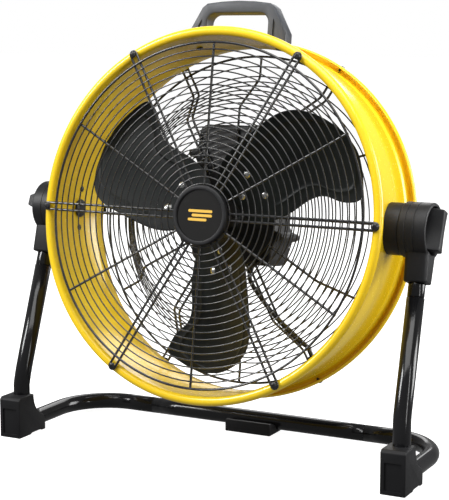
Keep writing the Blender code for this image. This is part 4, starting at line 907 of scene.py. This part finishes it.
def makeHousing():
    front = housing["front"]
    back = housing["back"]
    seam = housing["seam"]
    reach = housing["holeReach"]
    makeHousingHalf("motorHousingFront", "motor_housing_front", front, seam - housing["split"],
                    rod((0, front - reach, 0), (0, front + reach, 0), housing["shaftHole"]))
    holes = rod((0, back - 0.006, dial["z"]), (0, back + 0.006, dial["z"]), dial["hole"], 24)
    addRod(holes, (gland["x"], gland["y"], housing["bottom"] - 0.006),
           (gland["x"], gland["y"], housing["bottom"] + 0.006), housing["leadHole"], 24)
    # Cooling slots through the rear wall.
    long, high = housing["slotHalf"]
    for row in range(housing["slotRows"]):
        for side in (-1, 1):
            x = side * housing["slotX"]
            z = housing["slotFirst"] + housing["slotPitch"] * row
            addBar(holes, (x - long, back - reach, z - high), (x + long, back + reach, z + high),
                   0.0017, 3)
    makeHousingHalf("motorHousingRear", "motor_housing_rear", seam + housing["split"], back, holes)
    for index, (side, z) in enumerate(((1, 0), (1, 1), (-1, 0), (-1, 1))):
        spot = Vector((side * housing["earScrewX"], back, housing["earZ"][z]))
        finishPiece(f"housingScrew{index + 1}", screwBody("housing"), "screwBlack", (),
                    Matrix.Translation(spot) @ Matrix.Rotation(math.pi, 4, "X")
                    @ Matrix.Rotation(0.5 + index, 4, "Y"))
    ring = plate["radius"]
    start = plate["front"]
    end = start + plate["thickness"]
    bm = spun([(plate["hole"], start), (ring - 0.0006, start), (ring, start + 0.0006),
               (ring, end - 0.0006), (ring - 0.0006, end), (plate["hole"], end)], 96)
    finishPiece("motorMountPlate", bm, "screwBlack", ["motor_mount_plate"])


def makeDial():
    marks = bmesh.new()
    back = housing["back"]
    faceOut = basis((-1, 0, 0), (0, 0, 1), (0, 1, 0))
    inner = dial["radius"] - dial["tickIn"]
    wide, high = dial["tick"]
    for number, angle in enumerate((0, -45, -90, -135)):
        text = bpy.data.curves.new("digit", "FONT")
        text.body = str(number)
        text.size = dial["digit"]
        text.extrude = dial["print"]
        text.align_x = "CENTER"
        text.align_y = "CENTER"
        holder = linked("digit", text)
        mesh = bakedMesh(holder)
        turn = math.radians(angle)
        spot = Vector((dial["radius"] * math.sin(turn), back + 0.0001,
                       dial["z"] + dial["radius"] * math.cos(turn)))
        mesh.transform(Matrix.Translation(spot) @ faceOut)
        marks.from_mesh(mesh)
        bpy.data.objects.remove(holder)
        middle = Vector((inner * math.sin(turn), 0.0, dial["z"] + inner * math.cos(turn)))
        tick = Matrix.Translation(middle) @ Matrix.Rotation(turn, 4, "Y")
        addBlock(marks, (-wide, back, -high), (wide, back + 0.0002, high), tick)
    finishPiece("dialMarks", marks, "dialPrint")


knob = {
    "radius": 0.017, "depth": 0.015, "lift": 0.0005, "stem": 0.003, "stemIn": 0.0118,
    "biteX": 0.0128, "bite": 0.0085, "pointer": (0.0005, 0.0035, 0.0125),
}


def makeSpeedKnob():
    radius = knob["radius"]
    seat = knob["lift"]
    top = seat + knob["depth"]
    profile = [(0.0, -knob["stemIn"]), (knob["stem"], -knob["stemIn"]), (knob["stem"], seat),
               (radius - 0.0006, seat), (radius, seat + 0.0006),
               (radius, seat + knob["depth"] * 0.22)]
    profile += [(radius * 0.88, seat + knob["depth"] * 0.36), (radius * 0.84, top - 0.0022),
                (radius * 0.82, top - 0.0008), (radius * 0.77, top), (0.0, top)]
    bm = spun(profile, 60, closed=False)
    bites = bmesh.new()
    bite = knob["bite"]
    for side in (-1, 1):
        x = side * knob["biteX"]
        addBlock(bites, (x - bite, top - bite, -0.03), (x + bite, top + 0.004, 0.03))
    soften(bites, 0.002, 3, 40)
    bm = carve(bm, bites)
    place = Matrix.Translation((0.0, housing["back"], dial["z"]))
    finishPiece("speedKnob", bm, "blackPlastic", ["speed_knob"], place, 35, "speed_knob")
    mark = bmesh.new()
    half, low, high = knob["pointer"]
    addBlock(mark, (-half, top - 0.0003, low), (half, top + 0.0001, high))
    finishPiece("knobPointer", mark, "dialPrint", (), place, body="speed_knob")


# The lead: out of its gland, down the guard and into a clamp.
gland = {"x": 0.0112, "y": 0.06725, "radius": 0.0065, "length": 0.0145, "flange": 0.004}
lead = {
    "radius": 0.0035, "clampAngle": -60.0, "clampReach": 0.2290, "clampY": 0.08720,
    "way": ((0.010, 0.00, 0.069), (0.066, 0.10, 0.164), (0.153, 0.26, 0.268),
            (0.259, 0.46, 0.390), (0.395, 0.66, 0.524), (0.569, 0.87, 0.676),
            (0.744, 0.97, 0.811)),
    "clamp": (0.0209, 0.0125, 0.0150), "straight": 0.014, "screwShare": 0.62,
    "screwSink": 0.0025, "ribs": 5,
}


def smoothPath(points, perSpan):
    knots = [Vector(point) for point in points]
    padded = [2 * knots[0] - knots[1]] + knots + [2 * knots[-1] - knots[-2]]
    path = []
    for index in range(1, len(padded) - 2):
        a, b, c, d = padded[index - 1:index + 3]
        for step in range(perSpan):
            t = step / perSpan
            path.append(0.5 * (2 * b + (c - a) * t + (2 * a - 5 * b + 4 * c - d) * t ** 2
                               + (3 * b - a - 3 * c + d) * t ** 3))
    return path + [knots[-1]]


def makeLead():
    angle = math.radians(lead["clampAngle"])
    out = radial(1.0, angle, 0.0)
    end = radial(lead["clampReach"], angle, lead["clampY"])
    drop = housing["bottom"] - 0.0003
    start = Vector((gland["x"], gland["y"], housing["bottom"] - gland["length"] - 0.0006))
    span = end - start
    route = [start] + [start + Vector((x * span.x, y * span.y, z * span.z))
                       for x, y, z in lead["way"]]
    straight = lead["straight"]
    route += [end - out * straight, end - out * straight / 2, end]
    bm = wires([smoothPath(route, 4)], lead["radius"], 16)
    finishPiece("motorLead", bm, "rubberJacket", ["motor_lead"], sharp=50)
    flange = gland["radius"] * 1.3
    neck = gland["radius"] * 0.7
    profile = [(0.0, drop + 0.0056), (neck, drop + 0.0056), (neck, drop), (flange, drop),
               (flange, drop - 0.003), (flange - 0.001, drop - gland["flange"])]
    steps = lead["ribs"]
    taper = gland["length"] - gland["flange"]
    pitch = taper / steps
    for step in range(steps):
        share = step / steps
        wide = gland["radius"] + (lead["radius"] * 1.2 - gland["radius"]) * share
        low = drop - gland["flange"] - taper * share
        profile += [(wide, low - pitch * 0.15), (wide, low - pitch * 0.6),
                    (wide - 0.0009, low - pitch * 0.7), (wide - 0.0009, low - pitch * 0.98)]
    profile.append((0.0, drop - gland["length"]))
    bm = spun(profile, 32, closed=False)
    place = (Matrix.Translation((gland["x"], gland["y"], 0.0))
             @ Matrix.Rotation(math.pi / 2, 4, "X"))
    finishPiece("leadGland", bm, "rubberJacket", ["lead_gland"], place, 35)
    long, high, wide = lead["clamp"]
    across = Vector((0.0, 1.0, 0.0))
    place = basis(out, across, out.cross(across), end)
    bm = bmesh.new()
    addBlock(bm, (0.0006, -high / 2, -wide / 2), (long, high / 2, wide / 2))
    soften(bm, 0.0022, 3, 40)
    middle = long * lead["screwShare"]
    seat = high / 2 - lead["screwSink"]
    bm = carve(bm, rod((middle, seat, 0), (middle, high, 0), 0.0034, 24))
    finishPiece("leadClamp", bm, "blackPlastic", ["lead_clamp"], place)
    finishPiece("leadClampScrew", screwBody("clamp"), "brightSteel", (),
                place @ Matrix.Translation((middle, seat, 0.0)) @ Matrix.Rotation(math.pi, 4, "X"))


makeHousing()
makeDial()
makeSpeedKnob()
makeLead()
print("motor housing and lead made")


# The pivots: a boss on the drum, the stand's bracket, and the clamping knob in its recess.
pivots = {
    "bossRadius": 0.0372, "bossFace": 0.2835, "drumOutside": 0.2628,
    "bracketRadius": 0.0395, "bracketInner": 0.2838, "bracketFace": 0.3245,
    "recess": 0.0150, "rim": 0.0050, "grooves": (0.2945, 0.3070), "grooveDepth": 0.0006,
    "boltRadius": 0.0050, "boltEnd": 0.3275, "boltHead": 0.0140, "boltHeadThickness": 0.0035,
    "knobSeat": 0.3100, "flange": 0.0060, "knobRadius": 0.0335, "gripFace": 0.3380,
    "gripLength": 0.0600, "gripWidth": 0.0140, "gripDraft": 2.3, "lean": {1: 22.0, -1: 66.0},
    "bossSink": 0.010, "boltPlay": 0.0004, "screwUp": 0.030, "boltHeadSink": 0.0020,
    "uprightX": 0.3082, "footX": 0.3142, "footY": -0.088, "footZ": 0.0907,
    "socketStart": 0.012, "socketEnd": 0.0750, "socketSide": 0.0170, "socketFront": 0.0155,
    "socketFlare": 1.35, "socketCorner": 0.0070,
}
tubes = {
    "radius": 0.0127, "wall": 0.0008, "upright": 0.0122, "insert": 0.0112, "uprightTop": 0.0420,
    "joint": 0.0957, "insertLength": 0.0450, "footBend": 0.0450, "rearBend": 0.0850,
    "baseX": 0.3155, "legY": -0.0885, "crossY": 0.1020, "height": 0.0165, "kneeZ": 0.0780,
    "kneeLength": 0.0200, "kneeEase": 0.012, "crossHalf": 0.1855, "gap": 0.00015, "sides": 32,
    "bendSteps": 18,
}


def uprightPoint(side, distance):
    top = Vector((side * pivots["uprightX"], 0.0, pivot.z))
    foot = Vector((side * pivots["footX"], pivots["footY"], pivots["footZ"]))
    return top + (foot - top).normalized() * distance


def socketFrame():
    down = (uprightPoint(1, 1.0) - uprightPoint(1, 0.0)).normalized()
    forward = down.cross(Vector((1.0, 0.0, 0.0))).normalized()
    return basis(forward.cross(down).normalized(), forward, down, uprightPoint(1, 0.0))


# The half turn that makes a left piece of one built on the right.
def halfTurn(side, axis):
    return Matrix.Rotation(0.0 if side > 0 else math.pi, 4, axis)


def makeBoss(label, side):
    face = pivots["bossFace"]
    start = pivots["drumOutside"] - pivots["bossSink"]
    bm = rod((start, 0, 0), (face, 0, 0), pivots["bossRadius"], 64)
    soften(bm, 0.0020, 3, 60,
           lambda edge: all(vert.co.x > start + 0.005 for vert in edge.verts))
    barrel = spun([(0.0, -0.06), (pivots["drumOutside"], -0.06), (pivots["drumOutside"], 0.06),
                   (0.0, 0.06)], 160, closed=False)
    bm = carve(bm, barrel)
    bm = carve(bm, rod((start - 0.02, 0, 0), (face + 0.02, 0, 0), pivots["boltRadius"] + 0.0003))
    bmesh.ops.transform(bm, matrix=halfTurn(side, "Y"), verts=bm.verts)
    finishPiece(f"pivotBoss{label}", bm, "blackPlastic", [f"pivot_boss_{label.lower()}"])


def makeBolt(label, side):
    face = drum["radius"] - pivots["boltHeadSink"]
    back = face - pivots["boltHeadThickness"]
    head = pivots["boltHead"]
    shank = pivots["boltRadius"]
    end = pivots["boltEnd"]
    profile = [(0.0, back), (0.0035, back), (0.0042, back + 0.0006), (head * 0.72, back + 0.0004),
               (head - 0.0008, back + 0.0012), (head, back + 0.0020), (head, face),
               (shank, face), (shank, end - 0.0008), (shank - 0.0008, end), (0.0, end)]
    bm = spun(profile, 48, closed=False, axis="X")
    finishPiece(f"pivotBolt{label}", bm, "screwBlack", [f"pivot_bolt_{label.lower()}"],
                halfTurn(side, "Z"))
    # The boss is also held by two screws from inside the drum.
    for number, up in enumerate((pivots["screwUp"], -pivots["screwUp"])):
        reach = math.sqrt((drum["radius"] - drum["sheet"] / 2) ** 2 - up ** 2) - 0.0002
        spot = Vector((side * reach, 0.0, up))
        finishPiece(f"bossScrew{label}{number + 1}", screwBody("boss"), "screwBlack", (),
                    Matrix.Translation(spot) @ aim(spot.normalized()))


def makeBracket(label, side):
    radius = pivots["bracketRadius"]
    inner = pivots["bracketInner"]
    face = pivots["bracketFace"]
    floor = face - pivots["recess"]
    mouth = radius - pivots["rim"]
    bore = pivots["boltRadius"] + pivots["boltPlay"]
    deep = pivots["grooveDepth"]
    profile = [(bore, inner), (radius - 0.0012, inner), (radius, inner + 0.0012)]
    for place in pivots["grooves"]:
        profile += [(radius, place - 0.0011), (radius - deep, place - 0.0006),
                    (radius - deep, place + 0.0006), (radius, place + 0.0011)]
    profile += [(radius + a - 0.0022, face + b - 0.0022)
                for a, b in arcPoints((0.0, 0.0), 0.0022, 0, 90, 4)]
    profile += [(mouth + 0.0008, face), (mouth, face - 0.0008), (mouth, floor + 0.0006),
                (mouth - 0.0006, floor), (bore, floor)]
    bm = spun(profile, 96, closed=True, axis="X")
    bmesh.ops.transform(bm, matrix=Matrix.Translation(pivot), verts=bm.verts)
    # The socket below it, wider at the top, with a lip at its mouth.
    socket = bmesh.new()
    sideHalf = pivots["socketSide"]
    frontHalf = pivots["socketFront"]
    top = pivots["socketStart"]
    low = pivots["socketEnd"]
    made = addBlock(socket, (-sideHalf, -frontHalf, top), (sideHalf, frontHalf, low))
    for vert in made:
        if vert.co.z < top + 0.001:
            vert.co.y *= pivots["socketFlare"]
    soften(socket, pivots["socketCorner"], 6, 40,
           lambda edge: abs(edge.verts[0].co.z - edge.verts[1].co.z) > 0.02)
    soften(socket, 0.0022, 3, 40,
           lambda edge: min(vert.co.z for vert in edge.verts) > low - 0.0004)
    bmesh.ops.transform(socket, matrix=socketFrame(), verts=socket.verts)
    # Only the part outside the round recess belongs to the socket.
    socket = carve(socket, rod((floor + 0.0001, 0, pivot.z), (face + 0.03, 0, pivot.z),
                               mouth + 0.0005, 96))
    bm = carve(bm, socket, "UNION")
    bm = carve(bm, rod(uprightPoint(1, tubes["uprightTop"]), uprightPoint(1, low + 0.02),
                       tubes["upright"] + 0.0003, 48))
    if side < 0:
        bmesh.ops.mirror(bm, geom=bm.verts[:] + bm.edges[:] + bm.faces[:], axis="X",
                         merge_dist=-1.0)
        first = [vert for vert in bm.verts if vert.co.x > 0]
        bmesh.ops.delete(bm, geom=first, context="VERTS")
    finishPiece(f"pivotBracket{label}", bm, "blackPlastic",
                [f"pivot_bracket_{label.lower()}"], sharp=30, body="stand")


def makeTiltKnob(label, side):
    radius = pivots["knobRadius"]
    seat = pivots["knobSeat"]
    rise = seat + pivots["flange"]
    face = pivots["gripFace"]
    bore = pivots["boltRadius"] + pivots["boltPlay"]
    profile = [(bore, seat), (radius - 0.0006, seat), (radius, seat + 0.0006),
               (radius, rise - 0.0010), (radius - 0.0010, rise), (radius * 0.86, rise - 0.0004),
               (radius * 0.80, rise - 0.0022), (bore, rise - 0.0022)]
    bm = spun(profile, 96, closed=True, axis="X")
    half = pivots["gripLength"] / 2
    waist = pivots["gripWidth"] / 2
    sideLine = [(waist * (0.80 + 0.35 * (abs(share) ** 1.7)), half * share)
                for share in (-1.0, -0.8, -0.6, -0.4, -0.2, 0.0, 0.2, 0.4, 0.6, 0.8, 1.0)]
    outline = sideLine + [(-y, z) for y, z in reversed(sideLine)]
    bar = prism(outline, seat + pivots["flange"] / 2, face, "X")
    for vert in bar.verts:
        if vert.co.x < rise:
            vert.co.y *= pivots["gripDraft"]
    soften(bar, 0.0016, 3, 50)
    bar = carve(bar, rod((seat - 0.01, 0, 0), (face + 0.01, 0, 0), radius - 0.0006, 96),
                "INTERSECT")
    bm = carve(bm, bar, "UNION")
    bm = carve(bm, rod((seat - 0.01, 0, 0), (pivots["boltEnd"] + 0.0003, 0, 0), bore, 48))
    spin = Matrix.Rotation(-math.radians(pivots["lean"][side]) * side, 4, "X")
    body = f"tilt_knob_{label.lower()}"
    finishPiece(f"tiltKnob{label}", bm, "blackPlastic", [body],
                Matrix.Translation(pivot) @ spin @ halfTurn(side, "Z"), 30, body)


for label, side in (("Left", -1), ("Right", 1)):
    makeBoss(label, side)
    makeBolt(label, side)
    makeBracket(label, side)
    makeTiltKnob(label, side)
print("pivots made")


# A quarter of a circle from one direction to another.
def bendPath(centre, start, end, radius):
    steps = tubes["bendSteps"]
    points = []
    for step in range(steps + 1):
        angle = math.pi / 2 * step / steps
        points.append(Vector(centre) + radius * (Vector(start) * math.cos(angle)
                                                 + Vector(end) * math.sin(angle)))
    return points


def sideTubePath(side):
    x = side * tubes["baseX"]
    legY = tubes["legY"]
    height = tubes["height"]
    foot = tubes["footBend"]
    rear = tubes["rearBend"]
    down = (uprightPoint(side, 1.0) - uprightPoint(side, 0.0)).normalized()
    knee = uprightPoint(side, (pivot.z - tubes["kneeZ"] - tubes["kneeLength"]) / -down.z)
    legTop = Vector((x, legY, tubes["kneeZ"]))
    before = knee - down * tubes["kneeEase"]
    after = knee + (legTop - knee).normalized() * tubes["kneeEase"]
    path = [uprightPoint(side, tubes["joint"])]
    for step in range(5):
        share = step / 4
        path.append(before * (1 - share) ** 2 + knee * 2 * share * (1 - share)
                    + after * share ** 2)
    path.append(legTop)
    path += bendPath((x, legY + foot, height + foot), (0, -1, 0), (0, 0, -1), foot)
    path += bendPath((side * (tubes["baseX"] - rear), tubes["crossY"] - rear, height),
                     (side, 0, 0), (0, 1, 0), rear)
    path.append(Vector((side * (tubes["crossHalf"] + tubes["gap"]), tubes["crossY"], height)))
    return path


def makeTube(name, points, node, radius, sizes=None):
    bm = wires([points], radius, tubes["sides"], False, sizes)
    tube = finishPiece(name, bm, "blackEnamel", [node], sharp=40, body="stand")
    addWall(tube, tubes["wall"], -1.0)


def makeTubes():
    half = tubes["crossHalf"] - tubes["gap"]
    makeTube("crossTube", [Vector((x, tubes["crossY"], tubes["height"]))
                           for x in spread(-half, half, 9)], "cross_tube", tubes["radius"])
    joint = tubes["joint"]
    along = [tubes["uprightTop"], joint - 0.0022, joint - 0.0012, joint - 0.0003,
             joint + tubes["insertLength"]]
    narrow = tubes["insert"] / tubes["upright"]
    for label, side in (("Left", -1), ("Right", 1)):
        makeTube(f"sideTube{label}", sideTubePath(side), f"side_tube_{label.lower()}",
                 tubes["radius"])
        makeTube(f"uprightTube{label}", [uprightPoint(side, reach) for reach in along],
                 f"upright_tube_{label.lower()}", tubes["upright"],
                 [1.0, 1.0, 0.985, narrow, narrow])


# The moulded boots under the two legs, and the pad under the rear tube.
boot = {
    "wall": 0.0058, "front": -0.1220, "back": -0.0520, "height": 0.0635, "toe": 0.0300,
    "heel": 0.0090, "rise": 0.0020, "corner": 0.0040, "panel": 0.0020, "panelTop": 0.0457,
    "panelLow": 0.0060,
}


def bootOutline():
    bend = tubes["footBend"]
    hollow = arcPoints((tubes["legY"] + bend, tubes["height"] + bend),
                       bend - tubes["radius"] / 2, 180, 250, 16)
    toe = boot["front"] + boot["toe"]
    heel = boot["back"] - boot["heel"]
    rise = boot["rise"]
    outline = [(boot["front"], 0.0), (toe, 0.0), (toe + 2 * rise, rise), (heel - rise, rise),
               (heel, 0.0), (boot["back"], 0.0), (boot["back"], tubes["height"])]
    outline += reversed(hollow)
    return outline + [(hollow[0][0], boot["height"]),
                      (boot["front"] + boot["corner"], boot["height"]),
                      (boot["front"], boot["height"] - boot["corner"])]


def makeBoots():
    tube = tubes["radius"]
    for label, side in (("Left", -1), ("Right", 1)):
        x = side * tubes["baseX"]
        half = tube + boot["wall"]
        bm = prism(bootOutline(), x - half, x + half, "X")
        soften(bm, 0.0014, 3, 35)
        bm = carve(bm, wires([sideTubePath(side)], tube + 0.0003, 32))
        panel = bmesh.new()
        addBlock(panel, (x - tube, boot["front"] - 0.01, boot["panelLow"]),
                 (x + tube, boot["front"] + boot["panel"], boot["panelTop"]))
        soften(panel, 0.0015, 3, 40, runsAlong(1))
        bm = carve(bm, panel)
        finishPiece(f"footBoot{label}", bm, "bootPlastic", [f"foot_boot_{label.lower()}"],
                    body="stand")


pad = {"half": 0.0390, "front": 0.0690, "back": 0.1220, "rise": 0.0025}


def makePad():
    height = tubes["height"]
    rise = pad["rise"]
    front = pad["front"]
    back = pad["back"]
    outline = [(front, 0.0), (back, 0.0), (back, height - rise), (back - rise, height),
               (tubes["crossY"] - tubes["radius"], height - rise),
               (front + 2 * rise, height + rise), (front, height + rise)]
    bm = prism(outline, -pad["half"], pad["half"], "X")
    soften(bm, 0.0012, 3, 25)
    bm = carve(bm, rod((-0.06, tubes["crossY"], height), (0.06, tubes["crossY"], height),
                       tubes["radius"] + 0.0003, 48))
    finishPiece("rearPad", bm, "bootPlastic", ["rear_pad"], body="stand")


makeTubes()
makeBoots()
makePad()
print("stand made")


# The nodes that keep their own shape get their finish here.
keptLooks = {
    "impeller_hub": "screwBlack", "hub_nut": "brightSteel", "motor_shaft": "brightSteel",
    "rotor": "laminations", "stator": "laminations", "motor_case_front": "coreSteel",
    "motor_case_rear": "coreSteel", "bearing_front": "brightSteel", "bearing_rear": "brightSteel",
    "speed_switch": "blackPlastic", "capacitor": "paleResin", "joint_sleeve_left": "zincSleeve",
    "joint_sleeve_right": "zincSleeve",
}
for node, label in keptLooks.items():
    for slot in frame["nodes"][node].material_slots:
        slot.material = looks[label]

print("everything made")
